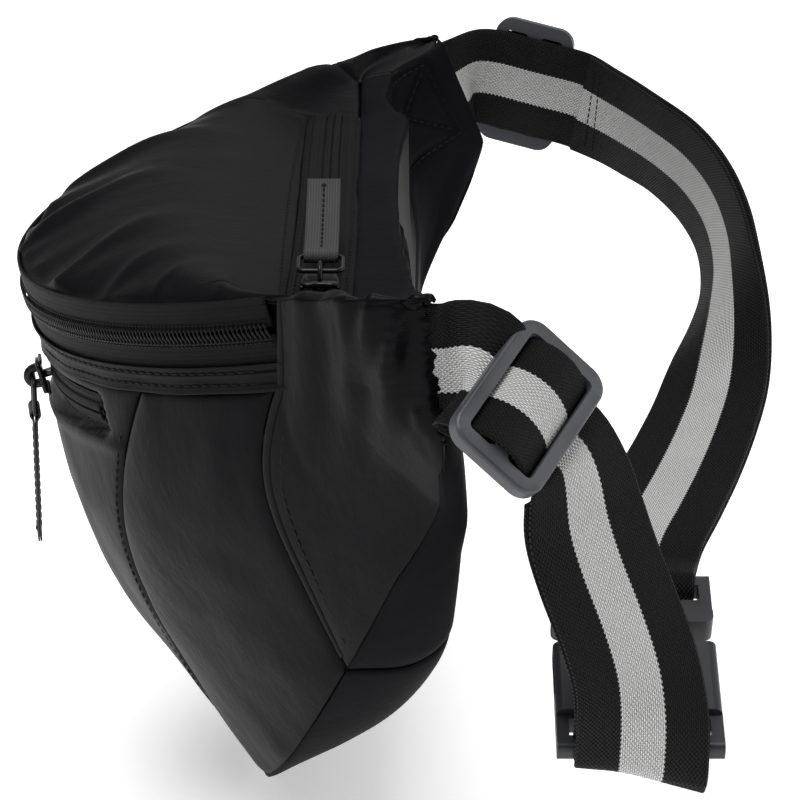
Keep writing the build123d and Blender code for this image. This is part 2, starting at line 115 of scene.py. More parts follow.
def section_lists(x):
    """The bag's outline at x: lower back, back, top, zip band and front, as (y, z) stops in mm."""
    s = abs(x)
    tip = float(part_way(s, 100.0, PACK_HALF))
    held = min(s, CAVITY_HALF)
    reach = math.sqrt(ZIP_R**2 - held**2)
    t = float(part_way(s, CAVITY_HALF, PACK_HALF))
    zy = mix(ZIP_CENTRE[1] - math.cos(ZIP_LEAN) * reach, -5.5, t)
    zz = mix(ZIP_CENTRE[2] - math.sin(ZIP_LEAN) * reach, 64.0, t)
    zip_top = (zy + LEAN_UP[1] * 8, zz + LEAN_UP[2] * 8)
    zip_low = (zy - LEAN_UP[1] * 15, zz - LEAN_UP[2] * 15)
    k = float(part_way(s, 130.0, PACK_HALF))
    held = min(s, 130.0)
    low = (-44.0 + 0.00283 * held**2 - 1.5 * k, -111.0 + 0.00739 * held**2 + 22.0 * k)
    back = min(4.0, -5.0 + 0.0005 * s**2)
    rise = mix(-45.0, low[1] + 14.0, float(part_way(s, 0.0, 130.0)))
    bulge = 9.0 * float(part_way(x, 50.0, 100.0) * (1 - part_way(x, 122.0, PACK_HALF)))
    lower_back = (back + bulge, max(rise, low[1] + 8.0))
    b1 = (mix(low[0], lower_back[0], 0.6) + 4.0 * (1 - tip),
          mix(low[1], lower_back[1], 0.45) - 2.0 * (1 - tip))
    top_z = mix(REAR_Z + 2.5, 71.0, float(part_way(s, 97.0, PACK_HALF)))
    back_top = (back, top_z)
    rear = (mix(REAR_Y + 8.5, 0.5, tip), mix(REAR_Z, 71.0, tip))
    fore = (mix(REAR_Y - 8.5, -3.0, tip), mix(REAR_Z, 70.5, tip))
    crown = (mix(zip_top[0], fore[0], 0.5), mix(zip_top[1], fore[1], 0.5) + 10.0 * (1 - (s / 150.0) ** 2))
    span = math.hypot(zip_low[0] - low[0], zip_low[1] - low[1]) / 151.0
    q1 = (mix(zip_low[0], low[0], 0.33) - 11.0 * span, mix(zip_low[1], low[1], 0.33) - 5.0 * span)
    q2 = (mix(zip_low[0], low[0], 0.67) - 7.5 * span, mix(zip_low[1], low[1], 0.67) - 3.0 * span)
    lists = [[low, b1, lower_back], [lower_back, back_top], [back_top, rear, fore, crown, zip_top],
             [zip_top, zip_low], [zip_low, q1, q2, low]]
    return [[bend(x, y, z) for y, z in points] for points in lists]


def spline_2d(points, n, first=None, last=None):
    """n points along the interpolating cubic through a few (y, z) stops, natural or clamped ends."""
    p = np.array(points, float)
    if len(p) == 2:
        t = np.linspace(0, 1, n)[:, None]
        return p[0] * (1 - t) + p[1] * t
    u = run_along(p)
    h = np.diff(u)
    m = len(p)
    a = np.zeros((m, m))
    b = np.zeros((m, 2))
    for i in range(1, m - 1):
        a[i, i - 1], a[i, i], a[i, i + 1] = h[i - 1], 2 * (h[i - 1] + h[i]), h[i]
        b[i] = 6 * ((p[i + 1] - p[i]) / h[i] - (p[i] - p[i - 1]) / h[i - 1])
    if first is None:
        a[0, 0] = 1
    else:
        a[0, 0], a[0, 1] = 2 * h[0], h[0]
        b[0] = 6 * ((p[1] - p[0]) / h[0] - np.array(first))
    if last is None:
        a[-1, -1] = 1
    else:
        a[-1, -1], a[-1, -2] = 2 * h[-1], h[-1]
        b[-1] = 6 * (np.array(last) - (p[-1] - p[-2]) / h[-1])
    s = np.linalg.solve(a, b)
    out = []
    for v in np.linspace(0, u[-1], n):
        i = min(int(np.searchsorted(u, v, side="right")) - 1, m - 2)
        d, e = u[i + 1] - v, v - u[i]
        out.append(s[i] * d**3 / (6 * h[i]) + s[i + 1] * e**3 / (6 * h[i])
                   + (p[i] / h[i] - s[i] * h[i] / 6) * d + (p[i + 1] / h[i] - s[i + 1] * h[i] / 6) * e)
    return np.array(out)


LOWER_BACK, FRONT = 0, 4             # parts of the outline; between them come back, top and zip band
SAMPLES = 61
STATIONS = np.linspace(-PACK_HALF, PACK_HALF, 197)


def outline_table():
    """Fine (y, z) points along the five parts of the outline at every station."""
    table = np.zeros((5, len(STATIONS), SAMPLES, 2))
    for i, x in enumerate(STATIONS):
        for part, points in enumerate(section_lists(float(x))):
            ends = (None, None)
            if part == LOWER_BACK:
                ends = (unit(np.array(points[1]) - np.array(points[0])), (0, 1))
            table[part, i] = spline_2d(points, SAMPLES, *ends)
    return table


TABLE = outline_table()


def surf(part, x, t):
    """A point of the envelope, mm: x along the pack, at share t of one part of the outline."""
    x = np.clip(np.asarray(x, float), -PACK_HALF, PACK_HALF)
    t = np.clip(np.asarray(t, float), 0, 1)
    x, t = np.broadcast_arrays(x, t)
    fx = (x + PACK_HALF) / (2 * PACK_HALF) * (len(STATIONS) - 1)
    ft = t * (SAMPLES - 1)
    ix = np.clip(fx.astype(int), 0, len(STATIONS) - 2)
    it = np.clip(ft.astype(int), 0, SAMPLES - 2)
    ax, at = (fx - ix)[..., None], (ft - it)[..., None]
    g = TABLE[part]
    yz = ((g[ix, it] * (1 - ax) + g[ix + 1, it] * ax) * (1 - at)
          + (g[ix, it + 1] * (1 - ax) + g[ix + 1, it + 1] * ax) * at)
    return np.concatenate([x[..., None], yz], axis=-1)


def arc_point(angle, radius, height):
    """A point about the front zip's axis, mm: angle in degrees from the front, positive towards +X."""
    a = np.radians(np.asarray(angle, float))[..., None]
    r = np.asarray(radius, float)[..., None]
    h = np.asarray(height, float)[..., None]
    return ZIP_CENTRE + r * (np.sin(a) * np.array([1.0, 0, 0]) + np.cos(a) * LEAN_FRONT) + h * LEAN_UP


# ------------------------------------------------------------------ mesh helpers

def make_object(name, verts_mm, faces, uvs=None):
    """A mesh object from points in mm. uvs is one (u, v) per vertex, in mm along and across the cloth."""
    mesh = bpy.data.meshes.new(name)
    mesh.from_pydata((np.asarray(verts_mm) * MM).tolist(), [], [list(map(int, f)) for f in faces])
    mesh.validate(clean_customdata=False)
    if uvs is not None:
        layer = mesh.uv_layers.new(name="cloth")
        loops = np.zeros(len(mesh.loops), int)
        mesh.loops.foreach_get("vertex_index", loops)
        layer.data.foreach_set("uv", np.asarray(uvs, float)[loops].ravel())
    mesh.polygons.foreach_set("use_smooth", [True] * len(mesh.polygons))
    obj = bpy.data.objects.new(name, mesh)
    bpy.context.scene.collection.objects.link(obj)
    return obj


def grid_normals(p):
    du = np.gradient(p, axis=0)
    dv = np.gradient(p, axis=1)
    return unit(np.cross(du, dv))


def sheet_mesh(name, p, thick, uv=None, flip=False):
    """A closed thin solid from a grid of outer points p[u, v]; thick is measured inwards along the normal."""
    nu, nv = p.shape[:2]
    n = grid_normals(p)
    if flip:
        n = -n
    inner = p - n * thick
    verts = np.concatenate([p.reshape(-1, 3), inner.reshape(-1, 3)])
    idx = np.arange(nu * nv).reshape(nu, nv)
    off = nu * nv
    a, b, c, d = idx[:-1, :-1], idx[1:, :-1], idx[1:, 1:], idx[:-1, 1:]
    outer = np.stack([a, b, c, d], -1).reshape(-1, 4)
    if flip:
        outer = outer[:, ::-1]
    faces = [outer, outer[:, ::-1] + off]

    for line in (idx[:, 0], idx[::-1, -1], idx[0, ::-1], idx[-1, :]):
        quads = np.stack([line[:-1], line[:-1] + off, line[1:] + off, line[1:]], -1)
        faces.append(quads[:, ::-1] if flip else quads)
    if uv is None:
        du = np.linalg.norm(np.diff(p, axis=0), axis=-1)
        dv = np.linalg.norm(np.diff(p, axis=1), axis=-1)
        u = np.concatenate([np.zeros((1, nv)), np.cumsum(du, axis=0)])
        v = np.concatenate([np.zeros((nu, 1)), np.cumsum(dv, axis=1)], axis=1)
        uv = np.stack([u, v], -1)
    uv = np.concatenate([uv.reshape(-1, 2)] * 2)
    return make_object(name, verts, np.concatenate(faces), uv)


def faced_sheet(name, p, out, thick, uv=None):
    """A sheet whose outer side looks the way of out."""
    return sheet_mesh(name, p, thick, uv, flip=not (grid_normals(p) * out).sum() > 0)


def hoop_faces(rows, count, closed=False):
    """Quads between rows of points that each go round once, and the end caps of an open run."""
    idx = np.arange(rows * count).reshape(rows, count)
    if closed:
        idx = np.concatenate([idx, idx[:1]])
    nxt = np.roll(idx, -1, axis=1)
    faces = [tuple(q) for q in np.stack([idx[:-1], nxt[:-1], nxt[1:], idx[1:]], -1).reshape(-1, 4)]
    return faces if closed else faces + [tuple(idx[0, ::-1]), tuple(idx[-1])]


def tube_mesh(centre, radii, sides=8, squash_to=1.0, up=None, closed=False):
    """A tube along points in mm; radii is one number or one for each point."""
    c = np.asarray(centre, float)
    n = len(c)
    radii = np.broadcast_to(np.asarray(radii, float), (n,))
    if closed:
        tangent = np.roll(c, -1, 0) - np.roll(c, 1, 0)
    else:
        tangent = np.gradient(c, axis=0)
    tangent = unit(tangent)
    if up is None:
        up = np.array([0, 0, 1.0]) if abs(tangent[0][2]) < 0.9 else np.array([1.0, 0, 0])
    up = np.broadcast_to(np.asarray(up, float), (n, 3)).copy()
    side = unit(np.cross(tangent, up))
    lift = np.cross(side, tangent)
    angle = np.linspace(0, 2 * np.pi, sides, endpoint=False)
    ring = np.cos(angle)[None, :, None] * side[:, None]
    ring = ring + squash_to * np.sin(angle)[None, :, None] * lift[:, None]
    verts = (c[:, None] + radii[:, None, None] * ring).reshape(-1, 3)
    return verts, hoop_faces(n, sides, closed)


class Batch:
    """Collects small closed shapes into one mesh."""

    def __init__(self):
        self.verts, self.faces, self.count = [], [], 0

    def add(self, verts, faces):
        self.verts.append(np.asarray(verts, float))
        self.faces.extend([tuple(int(i) + self.count for i in f) for f in faces])
        self.count += len(verts)

    def build(self, name):
        return make_object(name, np.concatenate(self.verts), self.faces)


def capsule(a, b, radius, up, flat=0.6, sides=6):
    """A short rounded thread or tooth between two points."""
    a, b = np.asarray(a, float), np.asarray(b, float)
    stops = np.array([0.0, 0.12, 0.5, 0.88, 1.0])
    centre = a + (b - a) * stops[:, None]
    return tube_mesh(centre, radius * np.array([0.35, 0.85, 1.0, 0.85, 0.35]), sides, flat, up)


def resample(points, step):
    """Points a fixed step apart along a polyline."""
    p = np.asarray(points, float)
    run = run_along(p)
    n = max(2, int(round(run[-1] / step)) + 1)
    where = np.linspace(0, run[-1], n)
    return np.stack([np.interp(where, run, p[:, k]) for k in range(3)], -1), where


# Sewing threads: length of a stitch, gap, radius, and lift off the cloth, mm.
THREADS = {"coil": (1.0, 0.33, 0.24, 0.05), "binding": (2.2, 0.9, 0.3, 0.05), "pocket": (2.1, 0.9, 0.24, 0.05),
           "pocket_end": (1.6, 0.7, 0.26, 0.5), "rear": (2.2, 0.9, 0.26, 0.1), "box": (2.1, 0.8, 0.22, 0.1),
           "side": (2.2, 1.0, 0.26, 0.05), "wing": (2.2, 1.0, 0.26, -0.1), "top": (2.3, 1.0, 0.26, 0.5),
           "bar": (1.5, 0.5, 0.3, 0.75), "pull": (1.6, 0.7, 0.28, 0.1)}


def stitches(batch, line, normals, thread_kind):
    """A row of thread dashes along a line on the cloth, with one normal for each point."""
    length, gap, radius, lift = THREADS[thread_kind]
    p = np.asarray(line, float)
    n = np.broadcast_to(np.asarray(normals, float), p.shape)
    run = run_along(p)

    def at(s):
        return (np.array([np.interp(s, run, p[:, k]) for k in range(3)]),
                np.array([np.interp(s, run, n[:, k]) for k in range(3)]))
    s = gap
    while s + length < run[-1]:
        (a, na), (b, nb) = at(s), at(s + length)
        batch.add(*capsule(a + na * lift, b + nb * lift, radius, na + nb))
        s += length + gap


def creases(p, lines):
    """How far folds lift each point of p, mm. A fold is (start, end, half width, height)."""
    out = np.zeros(p.shape[:-1])
    for start, end, width, height in lines:
        a, b = np.asarray(start, float), np.asarray(end, float)
        ab = b - a
        t = ((p - a) @ ab) / (ab @ ab)
        tc = np.clip(t, 0, 1)
        near = a + tc[..., None] * ab
        d = np.linalg.norm(p - near, axis=-1)
        grow = width * (0.55 + 0.9 * tc)
        ends = np.sin(np.pi * np.clip(0.12 + 0.88 * tc, 0, 1)) ** 0.7
        out += height * np.exp(-((d / grow) ** 2)) * ends
    return out


HASH_PRIMES = np.array([73856093, 19349663, 83492791])


def lattice_noise(p, scale, seed, stretch=(1, 1, 1)):
    """Smooth value noise in -1..1 at points p (mm)."""
    q = np.asarray(p, float) / (np.asarray(stretch, float) * scale) + 100.0
    base = np.floor(q).astype(np.int64)
    f = q - base
    f = f * f * (3 - 2 * f)
    total = np.zeros(q.shape[:-1])
    for corner in np.ndindex(2, 2, 2):
        h = (base + corner) * HASH_PRIMES
        h = h[..., 0] ^ h[..., 1] ^ h[..., 2] ^ (seed * 2654435761)
        h = (h ^ (h >> 13)) * 1274126177
        value = ((h & 0xFFFF) / 32767.5) - 1.0
        total += value * np.prod(np.where(corner, f, 1 - f), axis=-1)
    return total


# ------------------------------------------------------------------ materials

def material(name):
    mat = bpy.data.materials.new(name)
    mat.use_nodes = True
    tree = mat.node_tree
    tree.nodes.clear()
    out = tree.nodes.new("ShaderNodeOutputMaterial")
    shader = tree.nodes.new("ShaderNodeBsdfPrincipled")
    tree.links.new(shader.outputs[0], out.inputs[0])
    return mat, tree, shader


def node(tree, kind, inputs=None, **settings):
    made = tree.nodes.new(kind)
    for key, value in settings.items():
        setattr(made, key, value)
    for key, value in (inputs or {}).items():
        if isinstance(value, bpy.types.NodeSocket):
            tree.links.new(value, made.inputs[key])
        else:
            made.inputs[key].default_value = value
    return made


def math_node(tree, operation, a, b=0.0, clamp=False):
    made = node(tree, "ShaderNodeMath", operation=operation, use_clamp=clamp)
    for i, value in enumerate((a, b)):
        if isinstance(value, bpy.types.NodeSocket):
            tree.links.new(value, made.inputs[i])
        else:
            made.inputs[i].default_value = value
    return made.outputs[0]


def times(tree, a, b):
    return math_node(tree, "MULTIPLY", a, b)


def plus(tree, a, b, clamp=False):
    return math_node(tree, "ADD", a, b, clamp)


def ramp(tree, value, stops):
    made = node(tree, "ShaderNodeValToRGB", {"Fac": value})
    elements = made.color_ramp.elements
    while len(elements) < len(stops):
        elements.new(0.5)
    for element, (at, colour) in zip(elements, stops):
        element.position = at
        element.color = (*colour, 1.0)
    return made.outputs[0]


def coords(tree, scale=(1, 1, 1), uv=False, rotate=(0, 0, 0)):
    if uv:
        source = node(tree, "ShaderNodeUVMap", uv_map="cloth").outputs[0]
    else:
        source = node(tree, "ShaderNodeTexCoord").outputs["Object"]
    return node(tree, "ShaderNodeMapping", {"Vector": source, "Scale": scale, "Rotation": rotate}).outputs[0]


def cloud_node(tree, scale, detail):
    """Noise through the object, 0 to 1."""
    values = {"Vector": coords(tree), "Scale": scale, "Detail": detail}
    return node(tree, "ShaderNodeTexNoise", values).outputs["Fac"]


def surface(shader, rough=None, shine=None):
    if rough is not None:
        shader.inputs["Roughness"].default_value = rough
    if shine is not None:
        shader.inputs["Specular IOR Level"].default_value = shine


def bump(tree, shader, layers):
    """Stacks bumps; each is (height, strength, distance in metres)."""
    last = None
    for height, strength, distance in layers:
        made = node(tree, "ShaderNodeBump", {"Strength": strength, "Distance": distance, "Height": height})
        if last is not None:
            tree.links.new(last, made.inputs["Normal"])
        last = made.outputs[0]
    tree.links.new(last, shader.inputs["Normal"])


def nylon(name, dark, light, rough=(0.36, 0.48), weave=0.16, crumple=0.3, shine=0.055):
    """Smooth woven nylon: a fine twill, soft broad wrinkles and an uneven sheen."""
    mat, tree, shader = material(name)
    cloud = cloud_node(tree, 26.0, 4.0)
    long = {"Vector": coords(tree, (60, 60, 22)), "Scale": 1.0, "Detail": 5.0, "Roughness": 0.62}
    fold = node(tree, "ShaderNodeTexNoise", long).outputs["Fac"]
    fine = coords(tree, rotate=(0.5, 0.6, 0.7))
    twill = node(tree, "ShaderNodeTexWave", {"Vector": fine, "Scale": 520.0, "Distortion": 0.6},
                 wave_type="BANDS", bands_direction="DIAGONAL").outputs["Fac"]
    weft = node(tree, "ShaderNodeTexWave", {"Vector": coords(tree), "Scale": 400.0, "Distortion": 0.4},
                wave_type="BANDS", bands_direction="Z").outputs["Fac"]
    cloth = plus(tree, times(tree, twill, 0.7), times(tree, weft, 0.3))
    tree.links.new(ramp(tree, cloud, [(0.25, dark), (0.75, light)]), shader.inputs["Base Color"])
    spread = times(tree, cloud, rough[1] - rough[0])
    tree.links.new(plus(tree, spread, rough[0]), shader.inputs["Roughness"])
    surface(shader, shine=shine)
    bump(tree, shader, [(fold, crumple, 0.0022), (cloth, weave, 0.00018)])
    return mat


def pad_mesh(name):
    """Spacer mesh: small round cells over a soft backing."""
    mat, tree, shader = material(name)
    cells = node(tree, "ShaderNodeTexVoronoi", {"Vector": coords(tree), "Scale": 520.0, "Randomness": 0.25},
                 feature="F1").outputs["Distance"]
    cloud = cloud_node(tree, 40.0, 3.0)
    # painted shade: the colour darkens towards each cell's sunken middle, following the bump, with random tone
    # from the cloud noise
    shade = plus(tree, times(tree, cells, 0.8), times(tree, cloud, 0.3))
    tree.links.new(ramp(tree, shade, [(0.2, (0.004, 0.004, 0.0045)), (0.8, (0.013, 0.013, 0.0145))]),
                   shader.inputs["Base Color"])
    surface(shader, 0.85, 0.02)
    bump(tree, shader, [(cloud, 0.2, 0.001), (cells, 0.8, 0.0007)])
    return mat


def tape_cloth(name, dark, light, rib=0.0011, rough=0.62):
    """Close woven tape with ribs along its length and a herringbone between them."""
    mat, tree, shader = material(name)
    uv = coords(tree, uv=True)
    parts = node(tree, "ShaderNodeSeparateXYZ", {"Vector": uv})
    along, across = parts.outputs[0], parts.outputs[1]
    ribs = math_node(tree, "SINE", times(tree, across, 2 * math.pi / (rib * 1000)))
    zig = math_node(tree, "PINGPONG", across, rib * 1000)
    slant = math_node(tree, "SINE", times(tree, plus(tree, along, zig), 2 * math.pi / 0.62))
    weave = plus(tree, times(tree, slant, 0.3), times(tree, ribs, 0.2))
    lifted = plus(tree, weave, 0.5)
    cloud = cloud_node(tree, 60.0, 3.0)
    # painted shade: the colour darkens in the hollows between ribs and twills, following the bump height, with
    # random tone from the cloud noise
    shade = plus(tree, times(tree, lifted, 0.75), times(tree, cloud, 0.25))
    tree.links.new(ramp(tree, shade, [(0.2, dark), (0.85, light)]), shader.inputs["Base Color"])
    surface(shader, rough, 0.1)
    bump(tree, shader, [(lifted, 0.6, 0.00035)])
    return mat


def striped_webbing(name):
    """Ribbed webbing in black, white and black stripes. UV is mm along, and mm across from its middle."""
    mat, tree, shader = material(name)
    uv = coords(tree, uv=True)
    parts = node(tree, "ShaderNodeSeparateXYZ", {"Vector": uv})
    along, across = parts.outputs[0], parts.outputs[1]
    pitch = 1.32
    row = math_node(tree, "SINE", times(tree, along, 2 * math.pi / pitch))
    wavy = plus(tree, across, times(tree, row, 0.16))
    column = math_node(tree, "SINE", times(tree, across, 2 * math.pi / 1.05))
    stagger = times(tree, math_node(tree, "SIGN", column), math.pi / 2)
    knots = math_node(tree, "SINE", plus(tree, times(tree, along, 2 * math.pi / pitch), stagger))
    height = plus(tree, times(tree, knots, 0.28), times(tree, math_node(tree, "ABSOLUTE", column), 0.34))
    height = plus(tree, height, 0.34)
    edge = math_node(tree, "ABSOLUTE", wavy)
    white = math_node(tree, "LESS_THAN", edge, 5.35)
    cloud = cloud_node(tree, 55.0, 4.0)
    # painted shade: both stripes darken in the weave's hollows, following the bump height, with random mottle
    # from the cloud noise
    painted_shade_and_mottle = plus(tree, times(tree, height, 0.75), times(tree, cloud, 0.25))
    pale = ramp(tree, painted_shade_and_mottle, [(0.08, (0.20, 0.195, 0.195)), (0.4, (0.56, 0.555, 0.55)),
                              (0.8, (0.78, 0.775, 0.77))])
    black = ramp(tree, painted_shade_and_mottle, [(0.1, (0.0018, 0.0018, 0.0022)), (0.8, (0.0088, 0.0088, 0.0100))])
    colour = node(tree, "ShaderNodeMix", data_type="RGBA")
    tree.links.new(white, colour.inputs["Factor"])
    tree.links.new(black, colour.inputs["A"])
    tree.links.new(pale, colour.inputs["B"])
    tree.links.new(colour.outputs["Result"], shader.inputs["Base Color"])
    surface(shader, 0.6, 0.14)
    bump(tree, shader, [(height, 1.0, 0.0009)])
    return mat


def moulded(name, dark, light, rough=0.42, shine=0.5):
    """Fine satin moulded plastic, with a painted highlight along its convex edges and painted shade in its
    creases.
    """
    mat, tree, shader = material(name)
    speck = cloud_node(tree, 1800.0, 2.0)
    cloud = cloud_node(tree, 90.0, 4.0)
    curvature = node(tree, "ShaderNodeNewGeometry").outputs["Pointiness"]
    # painted highlight and painted shade: paler on convex edges, darker in concave creases, by the mesh's
    # pointiness
    edge = times(tree, math_node(tree, "SUBTRACT", curvature, 0.5), 5.0)
    shade = plus(tree, times(tree, cloud, 0.7), edge, clamp=True)
    tree.links.new(ramp(tree, shade, [(0.2, dark), (0.85, light)]), shader.inputs["Base Color"])
    spread = times(tree, cloud, 0.12)
    tree.links.new(plus(tree, spread, rough - 0.06), shader.inputs["Roughness"])
    surface(shader, shine=shine)
    bump(tree, shader, [(speck, 0.12, 0.0001)])
    return mat


def painted_metal(name):
    """Black painted die casting with bright spots where its paint has rubbed off."""
    mat, tree, shader = material(name)
    cloud = cloud_node(tree, 420.0, 5.0)
    curvature = node(tree, "ShaderNodeNewGeometry").outputs["Pointiness"]
    edge = times(tree, math_node(tree, "SUBTRACT", curvature, 0.5), 6.0)
    shade = plus(tree, times(tree, cloud, 0.6), edge, clamp=True)
    tree.links.new(ramp(tree, shade, [(0.3, (0.018, 0.018, 0.02)), (0.8, (0.09, 0.09, 0.095))]),
                   shader.inputs["Base Color"])
    tree.links.new(ramp(tree, shade, [(0.2, (0.75,) * 3), (0.9, (1.0,) * 3)]), shader.inputs["Metallic"])
    tree.links.new(plus(tree, times(tree, cloud, 0.2), 0.2), shader.inputs["Roughness"])
    bump(tree, shader, [(cloud, 0.1, 0.0001)])
    return mat


def thread(name):
    """Twisted sewing thread."""
    mat, tree, shader = material(name)
    twist = node(tree, "ShaderNodeTexWave", {"Vector": coords(tree), "Scale": 900.0, "Distortion": 2.0},
                 bands_direction="DIAGONAL").outputs["Fac"]
    # painted shade: the colour darkens in the grooves between the plies, following the twist's bump bands
    tree.links.new(ramp(tree, twist, [(0.1, (0.0025, 0.0025, 0.0030)), (0.9, (0.0095, 0.0095, 0.0110))]),
                   shader.inputs["Base Color"])
    surface(shader, 0.6, 0.12)
    bump(tree, shader, [(twist, 0.3, 0.0001)])
    return mat


SHELL_DARK = (0.0022, 0.0022, 0.0028)
TAPE_DARK, TAPE_LIGHT = (0.0022, 0.0022, 0.0026), (0.0072, 0.0072, 0.0082)
MAT = {
    "shell": nylon("shell_nylon", SHELL_DARK, (0.0040, 0.0040, 0.0052)),
    "wing": nylon("wing_nylon", SHELL_DARK, (0.0042, 0.0042, 0.0054), (0.3, 0.4), crumple=0.34, shine=0.065),
    "back": nylon("back_nylon", (0.0042, 0.0042, 0.0052), (0.0080, 0.0080, 0.0096), (0.5, 0.6), shine=0.025),
    "lining": nylon("lining_nylon", (0.012, 0.012, 0.013), (0.022, 0.022, 0.024), (0.5, 0.62), crumple=0.2),
    "binding": tape_cloth("binding_cloth", (0.0024, 0.0024, 0.0028), (0.0065, 0.0065, 0.0076), 0.0016, 0.5),
    "pad": pad_mesh("pad_mesh"),
    "tape": tape_cloth("zip_tape_cloth", TAPE_DARK, TAPE_LIGHT, rib=0.0012),
    "spine": tape_cloth("zip_spine_cloth", TAPE_DARK, TAPE_LIGHT, rib=0.0005),
    "teeth": moulded("coil_nylon", (0.0025, 0.0025, 0.0030), (0.0085, 0.0085, 0.0095), shine=0.16),
    "metal": painted_metal("zip_metal_paint"),
    "pull": tape_cloth("pull_ribbon", (0.035, 0.035, 0.037), (0.085, 0.085, 0.088), rib=0.0007, rough=0.6),
    "web": striped_webbing("striped_webbing"),
    "plastic": moulded("satin_plastic", (0.024, 0.025, 0.030), (0.066, 0.069, 0.080)),
    "buckle": moulded("buckle_plastic", (0.006, 0.006, 0.008), (0.022, 0.023, 0.027), rough=0.4, shine=0.3),
    "thread": thread("sewing_thread"),
}


def done(obj, mat, body="pack", nodes=()):
    """Gives a piece its material, its body and the CAD nodes it stands for."""
    obj.data.materials.clear()
    obj.data.materials.append(MAT[mat])
    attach(obj, body)
    if nodes:
        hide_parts(*nodes)
    return obj


# ------------------------------------------------------------------ fabric panels

SHELL_THICK = 1.2
WING_THICK = 0.6
SIDE_SEAM = (72.0, 0.55)            # a seam's distance from the middle at z = 0, and its lean
WING_SEAM = (106.5, 0.25)


def seam_x(v, middle, lean):
    """Where a seam plane |x| = middle + lean z meets the outline at v, mm."""
    v = np.asarray(v, float)
    x = np.full(v.shape, middle)
    for _ in range(12):
        z = outline(x, v)[..., 2]
        x = 0.5 * x + 0.5 * np.clip(middle + lean * z, 4.0, PACK_HALF)
    return x


def outline(x, v):
    """A point of the whole outline: v is 0 to 1 on the lower back, then back, top, band and front to 5."""
    v = np.clip(np.asarray(v, float), 0, 4.9999)
    x = np.asarray(x, float)
    x, v = np.broadcast_arrays(x, v)
    out = np.zeros(v.shape + (3,))
    for part in range(5):
        here = (v >= part) & (v < part + 1)
        if here.any():
            out[here] = surf(part, x[here], v[here] - part)
    last = v >= 4.9998
    if last.any():
        out[last] = surf(FRONT, x[last], np.ones(last.sum()))
    y, z = out[..., 1], out[..., 2]
    hollow = smooth(-x, 80, 108) * (1 - smooth(-x, 122, 146)) * smooth(z, 12, 58) * smooth(y, -20, -4)
    out[..., 1] = y - 9.0 * hollow
    return out


def halve(short_of, x, low, high, rounds):
    """Bounds on the v where short_of(v) stops being true, for each x."""
    low, high = np.full(np.shape(x), low), np.full(np.shape(x), high)
    for _ in range(rounds):
        mid = 0.5 * (low + high)
        short = short_of(mid)
        low, high = np.where(short, mid, low), np.where(short, high, mid)
    return low, high


def crossing_v(x, y):
    """Where the top of the outline at x passes a distance y, coming forward from the wearer's side."""
    low, high = halve(lambda v: outline(x, v)[..., 1] > y, x, 2.0, 2.9, 22)
    return 0.5 * (low + high)


def outward(p, x, v):
    """Unit normals of the envelope at (x, v), pointing away from the bag's inside."""
    dx = outline(x + 0.8, v) - outline(x - 0.8, v)
    dv = outline(x, np.minimum(v + 0.012, 4.999)) - outline(x, np.maximum(v - 0.012, 0.0))
    n = unit(np.cross(dx, dv))
    inside = np.stack([p[..., 0] * 0.8, np.full(p.shape[:-1], -28.0), np.full(p.shape[:-1], 5.0)], -1)
    wrong = ((p - inside) * n).sum(-1) < 0
    n[wrong] *= -1
    return n


def edge_fall(a, b, size_a, size_b, depth, reach):
    """How far a panel dips at its sewn edges, mm. a and b are shares across it; size is its mm across."""
    def fall(share, size):
        d = np.minimum(share, 1 - share) * size
        return np.exp(-d / reach)
    return -depth * np.maximum(fall(a, size_a), fall(b, size_b))


def panel(name, x_edges, v_edges, counts, height=None, mat="shell", nodes=(), dip=(1.6, 1.6), lines=(),
          noise=(0.5, 26.0, 3)):
    """One cut panel of the bag. x_edges(v) gives its two seams, v_edges its ends on the outline."""
    nu, nv = counts
    a = np.linspace(0, 1, nu)[:, None]
    b = np.linspace(0, 1, nv)[None, :]
    start, end = v_edges
    v = start + (end(np.zeros((nu, 1))) if callable(end) else end - start) * b + 0 * a
    for _ in range(2):
        low, high = x_edges(v)
        x = low * (1 - a) + high * a
        if callable(end):
            v = start + (end(x) - start) * b
    p = outline(x, v)
    n = outward(p, x, v)
    a, b = np.broadcast_to(a, x.shape), np.broadcast_to(b, x.shape)
    size_a = np.linalg.norm(p[-1] - p[0], axis=-1)[None, :]
    size_b = np.linalg.norm(np.diff(p, axis=1), axis=-1).sum(1)[:, None]
    lift = edge_fall(a, b, size_a, size_b, *dip) + creases(p, lines)
    amount, scale, seed = noise
    calm = 1 - np.exp(-np.minimum(a, 1 - a) * size_a / 8.0)
    waves = lattice_noise(p, scale, seed) + 0.45 * lattice_noise(p, scale / 2.3, seed + 9)
    lift = lift + amount * calm * waves
    if height is not None:
        lift = lift + height(p, x, b)
    q = p + n * lift[..., None]
    done(faced_sheet(name, q, n, SHELL_THICK), mat, "pack", nodes)


def both_seams(seam):
    """The two seams of a panel that spans the middle of the bag."""
    def seams(v):
        x = seam_x(v, *seam)
        return -x, x
    return seams


def on_side(sign, inner, outer):
    return (inner, outer) if sign > 0 else (-outer, -inner)


def side_seams(sign):
    def seams(v):
        return on_side(sign, seam_x(v, *SIDE_SEAM), seam_x(v, *WING_SEAM))
    return seams


def zip_end_edges(sign):
    """The fabric behind the end of the front zip, up to the wing's seam."""
    def seams(v):
        return on_side(sign, np.full(np.shape(v), 113.5), seam_x(v, *WING_SEAM) + 0.6)
    return seams


